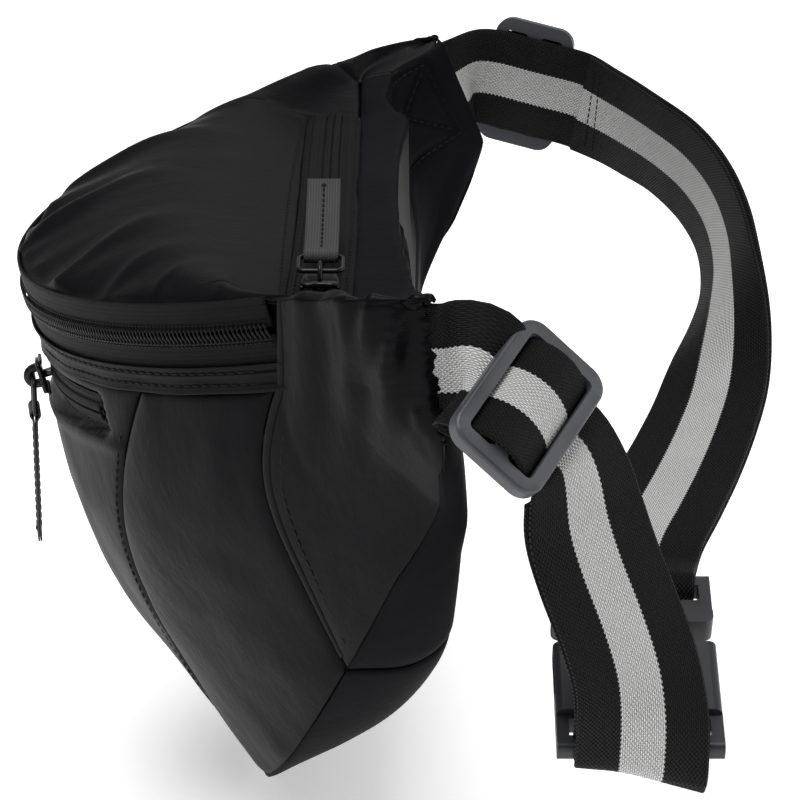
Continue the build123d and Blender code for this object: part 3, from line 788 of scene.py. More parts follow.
def pocket_sink(p, _x, _b):
    """The channel that the pocket zip lies in, with a soft lip of cloth below it."""
    rel = p - ZIP_CENTRE
    d = rel @ LEAN_UP
    angle = np.degrees(np.arctan2(rel[..., 0], rel @ LEAN_FRONT))
    along = 1 - smooth(np.abs(angle), POCKET_HALF - 0.5, POCKET_HALF + 1.5)
    inside = smooth(d, POCKET_D - 6.5, POCKET_D - 4.8) * (1 - smooth(d, POCKET_D + 4.8, POCKET_D + 6.5))
    lip = np.exp(-(((d - (POCKET_D - 8.2)) / 2.2) ** 2)) * (1 - smooth(np.abs(angle), 33.0, 38.0))
    return -2.8 * inside * along + 0.9 * lip


def slider_room(_p, _x, b):
    """Sinks the patch beyond the zip's end, to clear the slider at the end of its travel."""
    return -3.0 + 0 * b


def pucker(reach, size, pitch, seed):
    """Small gathers running in from the sewn edge where b is 1."""
    def height(p, x, b):
        from_edge = (1 - b) * 90.0          # a panel is about 90 mm long
        wave = lattice_noise(np.stack([x, 0 * x, p[..., 2] * 0.2], -1), pitch, seed)
        wave2 = lattice_noise(np.stack([x * 1.7, 0 * x + 50, p[..., 2] * 0.1], -1), pitch, seed + 4)
        fade = np.exp(-from_edge / reach) * smooth(from_edge, 0.0, 3.0)
        return size * fade * (wave + 0.6 * wave2)
    return height


def both(*parts):
    """The sum of several height functions."""
    def height(*args):
        return sum(part(*args) for part in parts)
    return height


def build_body():
    panel("front_centre", both_seams(SIDE_SEAM), (4.0, 5.0), (120, 110),
          both(pocket_sink, pucker(26, 0.7, 13, 5)), nodes=["front_panel"], dip=(1.5, 1.4),
          lines=[((-30, -90, -40), (-4, -60, -90), 7, 1.0), ((40, -96, -20), (8, -62, -84), 8, 1.1)])
    for sign, side in ((1, "near"), (-1, "far")):
        panel(f"front_side_{side}", side_seams(sign), (4.0, 5.0), (60, 110), pucker(24, 0.8, 12, 8 + sign),
              nodes=[f"side_panel_{side}"], dip=(1.5, 1.4),
              lines=[((sign * 104, -50, 20), (sign * 96, -62, -30), 9, 0.9),
                     ((sign * 88, -66, 26), (sign * 62, -76, -40), 10, 0.8)])
        wing(sign, side)
        panel(f"zip_end_{side}", zip_end_edges(sign), (3.0, 4.0), (14, 16), slider_room,
              dip=(0.2, 1.0), noise=(0.2, 12.0, 3))
    panel("back_shell", both_seams(WING_SEAM), (0.0, back_edge_v), (150, 110),
          mat="back", nodes=["back_panel"], dip=(0.4, 1.5), noise=(0.35, 30.0, 21))
    top()


TIP_X = 137.0               # the wings' skins leave the envelope here and close round the webbing


def tip_edge(sign, outer, z):
    """The end edge of a wing's outer or inner skin, mm; the webbing leaves between the two."""
    z = np.clip(z, 36.6, 71.2)
    apart = 0.7 + 0.95 * smooth(z, 36.8, 38.5) * (1 - smooth(z, 69.5, 71.0))
    ragged = 0.5 * np.sin(z * 0.9) + 0.35 * np.sin(z * 2.3 + 1.0)
    if sign > 0:
        y = 3.4 + 0.12 * (54 - z) + ragged
        return np.stack([143.2 + (apart if outer else -apart), y + (0.8 if outer else 0.0), z], -1)
    y = 14.6 + 0.42 * (54 - z)
    way = -apart if outer else apart
    return np.stack([-148.6 + 0.45 * way, y + 0.88 * way, z], -1)


def wing_sheet(name, sign, v_edges, counts, outer, lift, node_name):
    """One skin of a wing: on the envelope from its seam to TIP_X, then turned in to the end edge."""
    nu, nv = counts
    a = np.linspace(0, 1, nu)[:, None]
    v = np.linspace(*v_edges, nv)[None, :] + 0 * a
    seam = seam_x(v, *WING_SEAM)
    flat_part = 0.72
    on = np.clip(a / flat_part, 0, 1)
    x = sign * mix(seam, TIP_X, on)
    p = outline(x, v)
    t = np.clip((a - flat_part) / (1 - flat_part), 0, 1)[..., None]
    corner = outline(np.full_like(x, sign * (146.3 if outer and sign > 0 else 142.5)), v)
    end = tip_edge(sign, outer, outline(np.full_like(x, sign * PACK_HALF), v)[..., 2])
    p = np.where(t > 0, (1 - t) ** 2 * p + 2 * t * (1 - t) * corner + t**2 * end, p)
    n = grid_normals(p)
    centre = np.array([sign * 110.0, -14.0, 30.0])
    n = n * np.sign(((p - centre) * n).sum(-1).mean())
    along = a + 0 * v
    size = np.linalg.norm(np.diff(p, axis=0), axis=-1).sum(0)[None, :]
    share = (v - v_edges[0]) / (v_edges[1] - v_edges[0])
    height = edge_fall(along, share, size, 150.0, 1.1, 1.8)
    height = height + lift(p, along, share) * smooth(size * along, 1.0, 9.0)
    calm = 1 - smooth(along, 0.9, 1.0)
    height = height + 0.5 * calm * lattice_noise(p, 22.0, 3, (1, 1, 1.6)) * smooth(size * along, 1.0, 9.0)
    obj = faced_sheet(name, p + n * height[..., None], n, WING_THICK)
    done(obj, "wing" if outer else "back", "pack", [node_name])


def near_folds(p, along, share):
    """Long folds that fan down from the webbing, and one deep fold beside the end edge."""
    folds = [((143, -11, 71), (141.4, -15, 48), 3.6, 2.3), ((141, -17, 70), (133, -27, 22), 4.4, 2.1),
             ((136, -23, 69), (126, -34, 30), 3.4, 1.3), ((145, -4, 68), (143, -11, 40), 3.0, 1.8),
             ((145.2, -1, 42), (138, -14, 4), 4.2, 2.3), ((144.9, -5, 46), (145, 2, 24), 2.4, -2.4),
             ((143.5, -7, 36), (128, -22, -16), 4.5, 1.7), ((138, -20, 12), (120, -27, -30), 4.0, 1.0),
             ((139, -20, 60), (130, -30, 14), 2.2, -1.6), ((142.5, -13, 50), (136, -18, -6), 2.4, -1.5)]
    top = 1 - smooth(share, 0.0, 0.06)
    wave = np.sin(p[..., 1] * 0.62 + 1.2 * lattice_noise(p, 18.0, 41)) * smooth(p[..., 2], 10, 66)
    return 1.35 * creases(p, folds) * (1 - 0.8 * top) + 0.6 * wave * (1 - smooth(along, 0.93, 1.0))


def far_folds(p, _along, _share):
    folds = [((-141, -2, 68), (-120, -26, 46), 4.0, 1.2), ((-144, 8, 44), (-122, -14, 4), 4.5, 1.3),
             ((-138, 4, 56), (-118, -26, 16), 4.0, 0.9)]
    return creases(p, folds)


def cross_runs():
    """The runs of the box and cross sewn on the far wing, as (x, z) ends."""
    corners = np.array([(-109.5, 59.0), (-134.5, 65.0), (-140.5, 42.0), (-114.0, 31.0)])
    inner = corners.mean(0) + (corners - corners.mean(0)) * 0.9
    box = [(corners[i], corners[(i + 1) % 4]) for i in range(4)]
    return box + [(inner[0], inner[2]), (inner[1], inner[3])]


def sewn_groove(p, start, end, half_width):
    """1 on a run of stitching seen along Y, falling to 0 beside it."""
    run = end - start
    from_start = p[..., [0, 2]] - start
    t = np.clip((from_start @ run) / (run @ run), 0, 1)
    return np.exp(-((np.linalg.norm(from_start - t[..., None] * run, axis=-1) / half_width) ** 2))


def lining_folds(p, _along, _share):
    """Low pulls on a wing's inner skin, towards the webbing, and the grooves of the far wing's stitching."""
    sign = 1 if p[..., 0].mean() > 0 else -1
    folds = [((sign * 128, 3, 52), (sign * 106, 0, 24), 3.4, 0.7),
             ((sign * 124, 3, 30), (sign * 108, -2, -8), 4.0, 0.8),
             ((sign * 130, 3, 66), (sign * 112, 0, 60), 3.0, 0.5)]
    if sign > 0:
        return creases(p, folds)
    grooves = np.max([sewn_groove(p, start, end, 1.5) for start, end in cross_runs()], axis=0)
    return creases(p, folds) * 0.4 + 0.7 - 1.3 * grooves


def wing(sign, side):
    outer_folds = near_folds if sign > 0 else far_folds
    wing_sheet(f"wing_front_{side}", sign, (2.0, 4.9999), (90, 170), True, outer_folds, f"wing_{side}")
    wing_sheet(f"wing_back_{side}", sign, (0.0, 2.0), (80, 100), False, lining_folds,
               f"wing_lining_{side}")


def back_edge_v(x):
    return crossing_v(x, REAR_Y + 7.4)


def rear_edge_v(x):
    """Where the top fabric ends: at the rear zip's front tape, or at the back panel past the zip's ends."""
    past = smooth(np.abs(x), 96.6, 98.6)
    return mix(crossing_v(x, REAR_Y - 6.9), crossing_v(x, REAR_Y + 7.0), past)


def top():
    """The big top panel, with loose folds that run in from the front zip."""
    nu, nv = 180, 90
    b = np.linspace(0, 1, nv)[None, :]
    half = 121.5                # a first guess at where the wings' seams are
    guess = np.linspace(-half, half, nu)[:, None] * np.ones((1, nv))
    start = rear_edge_v(guess[:, 0])[:, None]
    v = start * (1 - b) + 2.9999 * b
    edge = np.stack([seam_x(v[0], *WING_SEAM), seam_x(v[-1], *WING_SEAM)]).mean(0)[None, :]
    x = guess / half * edge
    p = outline(x, v)
    n = outward(p, x, v)
    a = (x / edge + 1) / 2
    size_a = 2 * edge
    size_b = np.linalg.norm(np.diff(p, axis=1), axis=-1).sum(1)[:, None]
    lift = edge_fall(a, b, size_a, size_b, 1.6, 2.0)
    from_zip = (1 - b) * size_b
    front = smooth(b * size_b, 0, 1) * np.exp(-from_zip / 18.0) * smooth(from_zip, 0.5, 4.0)
    wave = lattice_noise(np.stack([x, x * 0, p[..., 1] * 0.12], -1), 15.0, 71)
    wave += 0.6 * lattice_noise(np.stack([x * 1.9, x * 0 + 9, p[..., 1] * 0.12], -1), 15.0, 77)
    lift = lift + 2.6 * front * wave
    lift = lift + 0.9 * lattice_noise(p, 38.0, 5, (1.8, 1, 1))
    lift = lift + 0.35 * lattice_noise(p, 15.0, 15, (2.4, 1, 1))
    folds = [((-40, -104, 46), (-70, -66, 66), 5, 2.3), ((10, -108, 44), (-20, -70, 66), 5, 2.1),
             ((62, -96, 50), (28, -62, 68), 5, 2.0), ((108, -48, 62), (60, -44, 68), 4, 1.1),
             ((84, -82, 54), (58, -56, 68), 4, 1.6), ((100, -66, 58), (70, -50, 68), 3.5, 1.4),
             ((-96, -72, 54), (-100, -46, 64), 5, 1.2)]
    lift = lift + creases(p, folds)
    q = p + n * lift[..., None]
    q = q + LEAN_UP * (0.4 * np.exp(-from_zip / 3.0))[..., None]
    done(faced_sheet("top_shell", q, n, SHELL_THICK), "shell", "pack", ["top_panel"])


# ------------------------------------------------------------------ zips, binding and stitching

TAPE_THICK = 0.7


def arc_strip(name, radius, d_low, d_high, angle_low, angle_high, thick, mat, slot, nodes=(), bulge=0.0,
              rows=9, wave=None):
    """A strip of cloth about the front zip's axis; bulge rounds it outwards, mm."""
    n = int((angle_high - angle_low) * 2.2)
    angle = np.linspace(angle_low, angle_high, n)[:, None]
    share = np.linspace(0, 1, rows)[None, :]
    d = d_low + (d_high - d_low) * share + 0 * angle
    r = radius + bulge * np.sqrt(np.clip(1 - (2 * share - 1) ** 2, 0, 1)) + 0 * angle
    if wave is not None:
        r = r + wave(angle + 0 * share, share + 0 * angle)
    p = arc_point(angle + 0 * share, r, d)
    uv = np.stack([np.radians(angle) * radius + 0 * share, d], -1)
    obj = faced_sheet(name, p, p - ZIP_CENTRE - d[..., None] * LEAN_UP, thick, uv)
    done(obj, mat, "pack", nodes)


def arc_line(radius, d, angle_low, angle_high, step=0.5):
    angle = np.arange(angle_low, angle_high, step)
    p = arc_point(angle, np.full(angle.shape, radius), np.full(angle.shape, d))
    out = arc_point(angle, np.full(angle.shape, radius + 1.0), np.full(angle.shape, d)) - p
    return p, out


def coil(name, low, high, radius, node_name):
    """An interlocked coil: staggered loops from each tape, with the sewing thread that holds them."""
    batch, pitch = Batch(), 1.33
    count = int(math.radians(high - low) * radius / pitch)
    for i in range(count):
        for side in (-1, 1):
            angle = low + math.degrees((i + (0.25 if side > 0 else 0.75)) * pitch / radius)
            skew = math.degrees(0.28 / radius)
            a = arc_point(angle - side * skew, radius + 0.75, side * 2.25)
            b = arc_point(angle + side * skew, radius + 1.25, -side * 0.55)
            up = b - ZIP_CENTRE
            batch.add(*capsule(a, b, 0.33, up, 0.8, 6))
            a2 = arc_point(angle - 2 * skew, radius + 1.15, side * 1.95)
            b2 = arc_point(angle + 2 * skew, radius + 1.15, side * 1.25)
            batch.add(*capsule(a2, b2, 0.24, up, 0.8, 5))
    for side in (-1, 1):
        line, out = arc_line(radius + 0.35, side * 2.75, low, high)
        stitches(batch, line, out, "coil")
    return done(batch.build(name), "teeth", "pack", [node_name])


def binding_wave(angle, share):
    """The binding's rolled upper lip, its slack lower edge and the dents of its two rows of stitching."""
    lip = 0.9 * np.exp(-(((share - 0.96) / 0.07) ** 2)) + 0.5 * np.exp(-(((share - 0.05) / 0.08) ** 2))
    sag = 0.25 * np.sin(np.radians(angle) * 31) * (1 - share)
    rows = sum(np.exp(-(((share - at) / 0.035) ** 2)) for at in (0.72, 0.30))
    return lip + sag - 0.35 * rows


def build_zips():
    a = ZIP_HALF_ANGLE
    thin = dict(thick=TAPE_THICK, mat="tape", slot="zip_tape")
    past = a + 1.3
    for name, low, high in (("upper", 1.1, 8.6), ("lower", -8.4, -1.1)):
        arc_strip(f"front_tape_{name}", ZIP_R, low, high, -past, past, nodes=[f"front_zip_{name}_tape"],
                  bulge=0.25, **thin)
    coil("front_coil", -a + 3.0, past - 0.2, ZIP_R, "front_zip_teeth")
    arc_strip("binding_band", ZIP_R + 0.3, -15.2, -7.9, -past, past, 1.0, "binding", "binding",
              ["binding_strip"], rows=41, wave=binding_wave)
    batch = Batch()
    for d in (-9.9, -13.0):
        line, out = arc_line(ZIP_R + 0.25, d, -a + 1.5, a - 1.5)
        stitches(batch, line, out, "binding")
    b = POCKET_HALF
    d0, half, r = POCKET_D, 5.0, ZIP_R - 0.9
    for name, low, high in (("upper", d0 + 1.0, d0 + half), ("lower", d0 - half, d0 - 1.0)):
        arc_strip(f"pocket_tape_{name}", r, low, high, -b, b, nodes=[f"pocket_zip_{name}_tape"],
                  bulge=0.2, **thin)

    def spine_wave(_angle, share):
        return -0.8 * np.exp(-(((share - 0.5) / 0.05) ** 2))
    arc_strip("pocket_spine", r + 0.15, d0 - 2.6, d0 + 2.6, -b + 0.5, b - 0.5, 0.7, "spine", "zip_teeth",
              ["pocket_zip_teeth"], bulge=1.1, rows=31, wave=spine_wave)
    for edge in (4.1, -4.1):
        line, out = arc_line(r + 0.15, d0 + edge, -b + 0.5, b - 0.5)
        stitches(batch, line, out, "pocket")
    for side in (-1, 1):
        stop = np.stack([arc_point(side * (b + 0.3), r + 0.5, d0 + h) for h in np.linspace(-5.6, 5.6, 12)])
        stitches(batch, stop, arc_point(side * b, 1.0, 0) - ZIP_CENTRE, "pocket_end")
    rear_zip(batch)
    seams(batch)
    cross_box(batch)
    done(batch.build("sewing"), "thread", "pack")


def rear_line(x, across, lift):
    """A point on the rear zip, mm: across is from its middle, + towards the wearer."""
    x = np.asarray(x, float)
    sag = 0.5 * np.sin(x / 17.0) * np.exp(-((x / 90.0) ** 2)) + 0.35 * np.sin(x / 6.5 + 1.0)
    y = REAR_Y + np.asarray(across, float) + 0.3 * np.sin(x / 31.0 + 0.6)
    z = REAR_Z + np.asarray(lift, float) + 0.35 * sag
    return np.stack(np.broadcast_arrays(x, y, z), -1)


def rear_zip(batch):
    x = np.linspace(-97, 97, 150)[:, None]
    for side, low, high in (("front", -8.2, -0.9), ("back", 0.9, 8.2)):
        across = np.linspace(low, high, 9)[None, :] + 0 * x
        p = rear_line(x + 0 * across, across, 0.25 * np.cos(across * 1.2))
        uv = np.stack([x + 0 * across, across], -1)
        obj = faced_sheet(f"rear_tape_{side}", p, (0, 0, 1), TAPE_THICK, uv)
        done(obj, "tape", "pack", [f"rear_zip_tape_{side}"])
    x = np.linspace(-96, 88, 150)[:, None]
    share = np.linspace(-1, 1, 31)[None, :] + 0 * x
    rise = 1.1 * np.sqrt(np.clip(1 - share**2, 0, 1)) - 0.7 * np.exp(-((share / 0.09) ** 2)) + 0.2
    p = rear_line(x + 0 * share, share * 2.4, rise)
    obj = faced_sheet("rear_spine", p, (0, 0, 1), 0.6, np.stack([x + 0 * share, share * 2.4], -1))
    done(obj, "spine", "pack", ["rear_zip_teeth"])
    run = np.linspace(-96, 96, 200)
    for across in (-6.6, 6.6):
        stitches(batch, rear_line(run, across, 0.4), (0, 0, 1), "rear")


def on_far_wing(x, z):
    """A point on the wearer's face of the far wing, mm, and the way out of it."""
    x, z = np.broadcast_arrays(np.asarray(x, float), np.asarray(z, float))
    v, _ = halve(lambda v: outline(x, v)[..., 2] < z, x, 0.6, 1.9999, 24)
    p = outline(x, v)
    return p, outward(p, x, v)


def cross_box(batch):
    """The box and cross sewn through the far wing and the webbing inside it."""
    for start, end in cross_runs():
        line = start + (end - start) * np.linspace(0, 1, 60)[:, None]
        p, out = on_far_wing(line[:, 0], line[:, 1])
        stitches(batch, p, out, "box")


def seam_line(seam, sign, v_low, v_high, offset):
    """Points and ways out along a seam, offset mm towards the wing."""
    v = np.linspace(v_low, v_high, 120)
    x = sign * (seam_x(v, *seam) + offset)
    p = outline(x, v)
    return p, outward(p, x, v)


def seams(batch):
    """Topstitching beside each seam, and the rolled edge along each wing."""
    for sign, side in ((1, "near"), (-1, "far")):
        line, out = seam_line(SIDE_SEAM, sign, 4.12, 4.97, -2.6)
        stitches(batch, line, out, "side")
        line, out = seam_line(WING_SEAM, sign, 2.5, 4.95, 3.2)
        stitches(batch, line, out, "wing")
        line, out = seam_line(WING_SEAM, sign, 3.0, 4.96, 0.6)
        width = 1.15 * np.sin(np.pi * np.linspace(0.02, 0.98, len(line))) ** 0.25
        welt = make_object(f"wing_welt_{side}", *tube_mesh(line - out * 0.5, width, 10, 0.6, out))
        done(welt, "binding", "pack")
    run = np.linspace(-90, 90, 160)
    stitches(batch, outline(run, rear_edge_v(run) + 0.035), (0, 0, 1), "top")


# ------------------------------------------------------------------ webbing

WEB_W = 32.0
WEB_T = 1.3


NEAR_ADJUSTER = ((150, 23.5, 46), (0.074, 0.736, -0.673))      # its middle, and the way of the webbing
FAR_ADJUSTER = ((-158.3, 36, 53), (0.24, 0.95, -0.2))


def straight(centre, along, across, *distances):
    """Stops in one line through an adjuster."""
    along = unit(np.array(along))
    return [(tuple(np.array(centre) + along * d), across) for d in distances]


# The webbing's stops: a point, mm, and the way across. Stop 5 of each path is the middle of its adjuster.
NEAR_PATH = [((143.2, 1.6, 54), (0, 0, 1)), ((143.2, 7.6, 54), (0, 0, 1)),
             ((144.0, 10.6, 54.6), (-0.2, 0.08, 0.95)), ((146.6, 12.4, 55.0), (-0.5, 0.25, 0.8)),
             *straight(*NEAR_ADJUSTER, (-0.77, 0.47, 0.43), -10.0, 0.0, 10.0, 16.0),
             ((151.9, 37.4, 28.5), (-0.64, 0.70, 0.33)), ((152.2, 38.8, 20), (-0.52, 0.81, 0.27)),
             ((152.8, 42.2, 9), (-0.48, 0.86, 0.18)), ((153.6, 47.2, -4), (-0.45, 0.89, 0.09)),
             ((154.6, 51.3, -17), (-0.36, 0.93, 0.0)), ((155.1, 52.7, -27), (-0.2, 0.97, -0.08)),
             ((154.9, 53.0, -33), (-0.08, 0.99, -0.16))]
FAR_PATH = [((-146.4, 13.3, 54), (0, -0.39, 0.92)), ((-149.5, 14.9, 54.1), (0, -0.36, 0.93)),
            ((-153.2, 16.6, 54.8), (0, -0.2, 0.97)), ((-159.2, 19.8, 56), (0.04, 0.12, 0.98)),
            *straight(*FAR_ADJUSTER, (0.05, 0.19, 0.96), -10.0, 0.0, 10.0, 17.0),
            ((-145, 61, 47.5), (0, 0, 1)), ((-131, 68.5, 46), (0, -0.05, 1)),
            ((-115, 76.5, 44), (0, -0.1, 1)), ((-97, 85.5, 39.5), (0, 0, 1)),
            ((-78, 91.5, 33), (0, 0.12, 1)), ((-59, 93.5, 25), (0, 0.3, 0.95)),
            ((-38, 91.5, 16), (0, 0.55, 0.8)), ((-18, 88, 7.5), (0, 0.8, 0.55)),
            ((2, 83.5, 0), (0, 0.94, 0.3)), ((22, 77.5, -5), (0, 0.98, 0.15)),
            ((42, 71, -8.5), (0, 1, 0.05)), ((62, 64, -11.5), (0, 1, 0)),
            ((80, 57.5, -14.5), (0, 1, 0)), ((92, 54.3, -18.2), (0, 1, 0))]
AT_ADJUSTER = 5


def smooth_stops(path, step=1.5):
    """Fine points and across-directions through the stops of a webbing, by a centripetal spline."""
    p = np.array([stop[0] for stop in path], float)
    c = unit(np.array([stop[1] for stop in path], float))
    data = np.concatenate([p, c * 10.0], axis=1)
    data = np.concatenate([2 * data[:1] - data[1:2], data, 2 * data[-1:] - data[-2:-1]])
    out = []
    for i in range(1, len(data) - 2):
        d = data[i - 1:i + 3]
        gaps = np.maximum(np.linalg.norm(np.diff(d[:, :3], axis=0), axis=1), 1e-6)
        t = np.concatenate([[0], np.cumsum(gaps**0.5)])
        n = max(2, int(np.linalg.norm(d[2][:3] - d[1][:3]) / step))
        for s in np.linspace(t[1], t[2], n, endpoint=False):
            a = [mix(d[k], d[k + 1], (s - t[k]) / (t[k + 1] - t[k])) for k in range(3)]
            b = [mix(a[k], a[k + 1], (s - t[k]) / (t[k + 2] - t[k])) for k in range(2)]
            out.append(mix(b[0], b[1], (s - t[1]) / (t[2] - t[1])))
    out.append(data[-2])
    out = np.array(out)
    return out[:, :3], unit(out[:, 3:])


def web_frames(points, across):
    """The ways across and out of the webbing at each point, squared to its run."""
    along = unit(np.gradient(points, axis=0))
    across = unit(across - along * (across * along).sum(1, keepdims=True))
    return across, np.cross(along, across)


def web_profile():
    """Half-round edged strip in (across, out), going round once."""
    half_w, half_t = WEB_W / 2, WEB_T / 2
    top = np.linspace(half_w - 0.6, -half_w + 0.6, 29)
    round_off = [(-half_w + 0.12, 0.55 * half_t), (-half_w, 0.0), (-half_w + 0.12, -0.55 * half_t)]
    points = [(a, half_t) for a in top] + round_off + [(a, -half_t) for a in top[::-1]]
    points += [(-a, -b) for a, b in round_off]
    return np.array(points)


PROFILE = web_profile()


def ribbon(name, points, across, start_u=0.0):
    """Webbing along points; UV is mm along and mm across from its middle."""
    across, out = web_frames(points, across)
    run = run_along(points) + start_u
    a = PROFILE[None, :, 0, None]
    b = PROFILE[None, :, 1, None]
    ribs = 0.10 * np.abs(np.sin(np.pi * PROFILE[:, 0] / 2.1))[None, :, None] * np.sign(b)
    verts = points[:, None] + a * across[:, None] + (b + ribs) * out[:, None]
    n, m = verts.shape[:2]
    uv = np.stack(np.broadcast_arrays(run[:, None], PROFILE[None, :, 0]), -1).reshape(-1, 2)
    idx = np.arange(n * m).reshape(n, m)
    nxt = np.roll(idx, -1, axis=1)
    faces = [tuple(q) for q in np.stack([idx[:-1], idx[1:], nxt[1:], nxt[:-1]], -1).reshape(-1, 4)]
    faces += [tuple(idx[0]), tuple(idx[-1, ::-1])]
    faces = [f[::-1] for f in faces]
    return make_object(name, verts.reshape(-1, 3), faces, uv)


BUCKLE_AT = np.array([127.0, 53.0, -28.0])
PITCH = math.radians(25.8)
B_X = np.array([math.cos(PITCH), 0.0, -math.sin(PITCH)])
B_Z = np.array([math.sin(PITCH), 0.0, math.cos(PITCH)])
B_Y = np.array([0.0, 1.0, 0.0])
B_UP = np.array([0.0, 0.0, 1.0])
LAYER_GAP = 2.1


def in_buckle(x, y, z):
    return BUCKLE_AT + B_X * x + B_Y * y + B_Z * z


def turned_webbing(path, bar_x, first, last, sign):
    """The main layer, the turn round a buckle bar and the layer that comes back, as one line.

    The near strap's turn hangs lower on the wearer's side, with a little slack under the bar.
    """
    points, across = smooth_stops(path)
    across, out = web_frames(points, across)
    out = out * sign
    turn = np.radians(np.linspace(first, last, 22))
    slack = (np.sin(np.linspace(0, math.pi, 22)) if sign > 0 else np.zeros(22))[:, None]
    loop = np.array([in_buckle(bar_x + 4.4 * math.cos(t), 0, 4.4 * math.sin(t)) for t in turn])
    loop -= 2.6 * slack * B_UP
    back = (points - out * LAYER_GAP)[::-1]
    p = np.concatenate([points, loop, back[4:]])
    c = np.concatenate([across, B_Y - 0.34 * slack * B_UP, across[::-1][4:]])
    return points, across, out, p, c


def even(points, across, step=1.4, rounds=3):
    """Resampled evenly, with corners eased."""
    p, where = resample(points, step)
    run = run_along(points)
    c = np.stack([np.interp(where, run, across[:, k]) for k in range(3)], -1)
    for _ in range(rounds):
        for line in (p, c):
            line[1:-1] = 0.25 * line[:-2] + 0.5 * line[1:-1] + 0.25 * line[2:]
    return p, c


def stop_after(points, centre, along, distance):
    """Index of the first point past a distance beyond an adjuster's centre."""
    s = (points - np.array(centre)) @ unit(np.array(along))
    near = np.linalg.norm(points - np.array(centre), axis=1) < 45
    return int(np.argmax((s > distance) & near))


def build_webbing(batch):
    for name, path, bar, first, last, sign, adjuster in (
            ("near", NEAR_PATH, 25.0, 0.0, -150.0, 1, NEAR_ADJUSTER),
            ("far", FAR_PATH, -27.0, -90.0, 90.0, -1, FAR_ADJUSTER)):
        main, across, out, p, c = turned_webbing(path, bar, first, last, sign)
        end = stop_after(main, *adjuster, 20.0)
        keep = len(p) - end
        p, c = even(p[:keep], c[:keep])
        obj = ribbon("belt_" + name, p, c)
        obj.data.materials.append(MAT["web"])
        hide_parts("webbing_" + name)
        if name == "near":
            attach(obj, "pack")
        else:
            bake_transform(obj)
        for i in (end + 3, end + 5):
            middle = main[i] - out[i] * LAYER_GAP
            bar_line = np.stack([middle + across[i] * w for w in np.linspace(-13.5, 13.5, 20)])
            stitches(batch, bar_line, -out[i], "bar")
        arch(name, *np.array(adjuster, float), np.array(path[AT_ADJUSTER][1], float), sign)


def arch(name, centre, along, across, sign):
    """The turn of webbing over an adjuster's centre bar."""
    along = unit(along)
    across = unit(across - along * (across @ along))
    out = np.cross(along, across) * sign
    t = np.linspace(0, 1, 40)
    x = -8.9 + 17.8 * t
    lift = 1.5 + 4.9 * np.sin(np.pi * t) ** 0.62
    p = centre + along * x[:, None] + out * lift[:, None]
    c = np.tile(across * 0.965, (len(t), 1))
    obj = ribbon("arch_" + name, p, c, start_u=3.0)
    done(obj, "web", name + "_adjuster", ["adjuster_webbing_" + name])


# ------------------------------------------------------------------ sliders, rings and pulls

EYE = (0, 0, 5.5)               # where a ring's wire passes through its slider, in the slider's frame


def frame_from(origin, x_dir, z_dir):
    """An origin, and rows that are the frame's X, Y and Z."""
    x = unit(np.array(x_dir, float))
    z = np.array(z_dir, float)
    z = unit(z - x * (z @ x))
    return np.array(origin, float), np.stack([x, np.cross(z, x), z])


def placed(at, local):
    origin, rows = at
    return origin + np.asarray(local, float) @ rows


def rounded_plate(outline, z_low, z_high, ease):
    """A plate from an (x, y) outline with rounded top and bottom edges."""
    o = np.array(outline, float)
    mid = o.mean(0)
    rows = []
    for z, inset in ((z_low, ease), (z_low + ease * 0.4, ease * 0.35), (z_low + ease, 0), (z_high - ease, 0),
                     (z_high - ease * 0.4, ease * 0.35), (z_high, ease)):
        reach = np.linalg.norm(o - mid, axis=1, keepdims=True)
        rows.append(np.concatenate([mid + (o - mid) * (1 - inset / reach), np.full((len(o), 1), z)], 1))
    return np.concatenate(rows), hoop_faces(len(rows), len(o))


def slider_outline(length, width):
    """A shield: broad shoulders where the teeth part, narrow where they close."""
    half = [(-0.5, 0.36), (-0.42, 0.42), (-0.15, 0.47), (0.1, 0.5), (0.36, 0.5), (0.46, 0.44), (0.5, 0.3),
            (0.44, 0.12)]
    up = [(x * length, y * width) for x, y in half]
    return up + [(x, -y) for x, y in up[::-1]]


def slider(name, at, body, turn):
    """Top and bottom plates, side flanges, and a bridge that the ring hangs from; turn sets it crosswise."""
    batch = Batch()
    for low, high in ((2.5, 3.9), (-2.6, -1.4)):
        verts, faces = rounded_plate(slider_outline(11.0, 9.2), low, high, 0.45)
        batch.add(placed(at, verts), faces)
    for side in (-1, 1):
        rail_y = side * (3.9 + 0.5 * np.linspace(0, 1, 14))
        rail = np.stack([np.linspace(-5.0, 4.4, 14), rail_y, np.full(14, 2.35)], -1)
        batch.add(*tube_mesh(placed(at, rail), 0.55, 8))
    verts, faces = rounded_plate([(-1.5, -0.8), (1.5, -0.8), (1.5, 0.8), (-1.5, 0.8)], -1.5, 2.7, 0.25)
    batch.add(placed(at, verts), faces)
    t = np.linspace(0, math.pi, 22)
    hoop = np.stack([2.3 * np.cos(t), 0 * t, 3.7 + 3.1 * np.sin(t) ** 0.75], -1)
    wide = at[1][1]
    if turn:
        hoop = hoop[:, [1, 0, 2]]
        wide = at[1][0]
    batch.add(*tube_mesh(placed(at, hoop), 1.3, 10, 0.5, wide))
    return done(batch.build(name), "metal", body, [name.replace("_body", "")])


def ring(name, at, body, node_name):
    """Round wire bent to a rounded oblong."""
    corners = []
    for cx, cy, start in ((7.9, 3.7, 0), (1.7, 3.7, 90), (1.7, -3.7, 180), (7.9, -3.7, 270)):
        for a in np.radians(np.linspace(start, start + 90, 9)):
            corners.append((cx + 1.7 * math.cos(a), cy + 1.7 * math.sin(a), 0.0))
    line = placed(at, np.array(corners))
    verts, faces = tube_mesh(line, 0.66, 12, 1.0, at[1][2], closed=True)
    return done(make_object(name, verts, faces), "metal", body, [node_name])


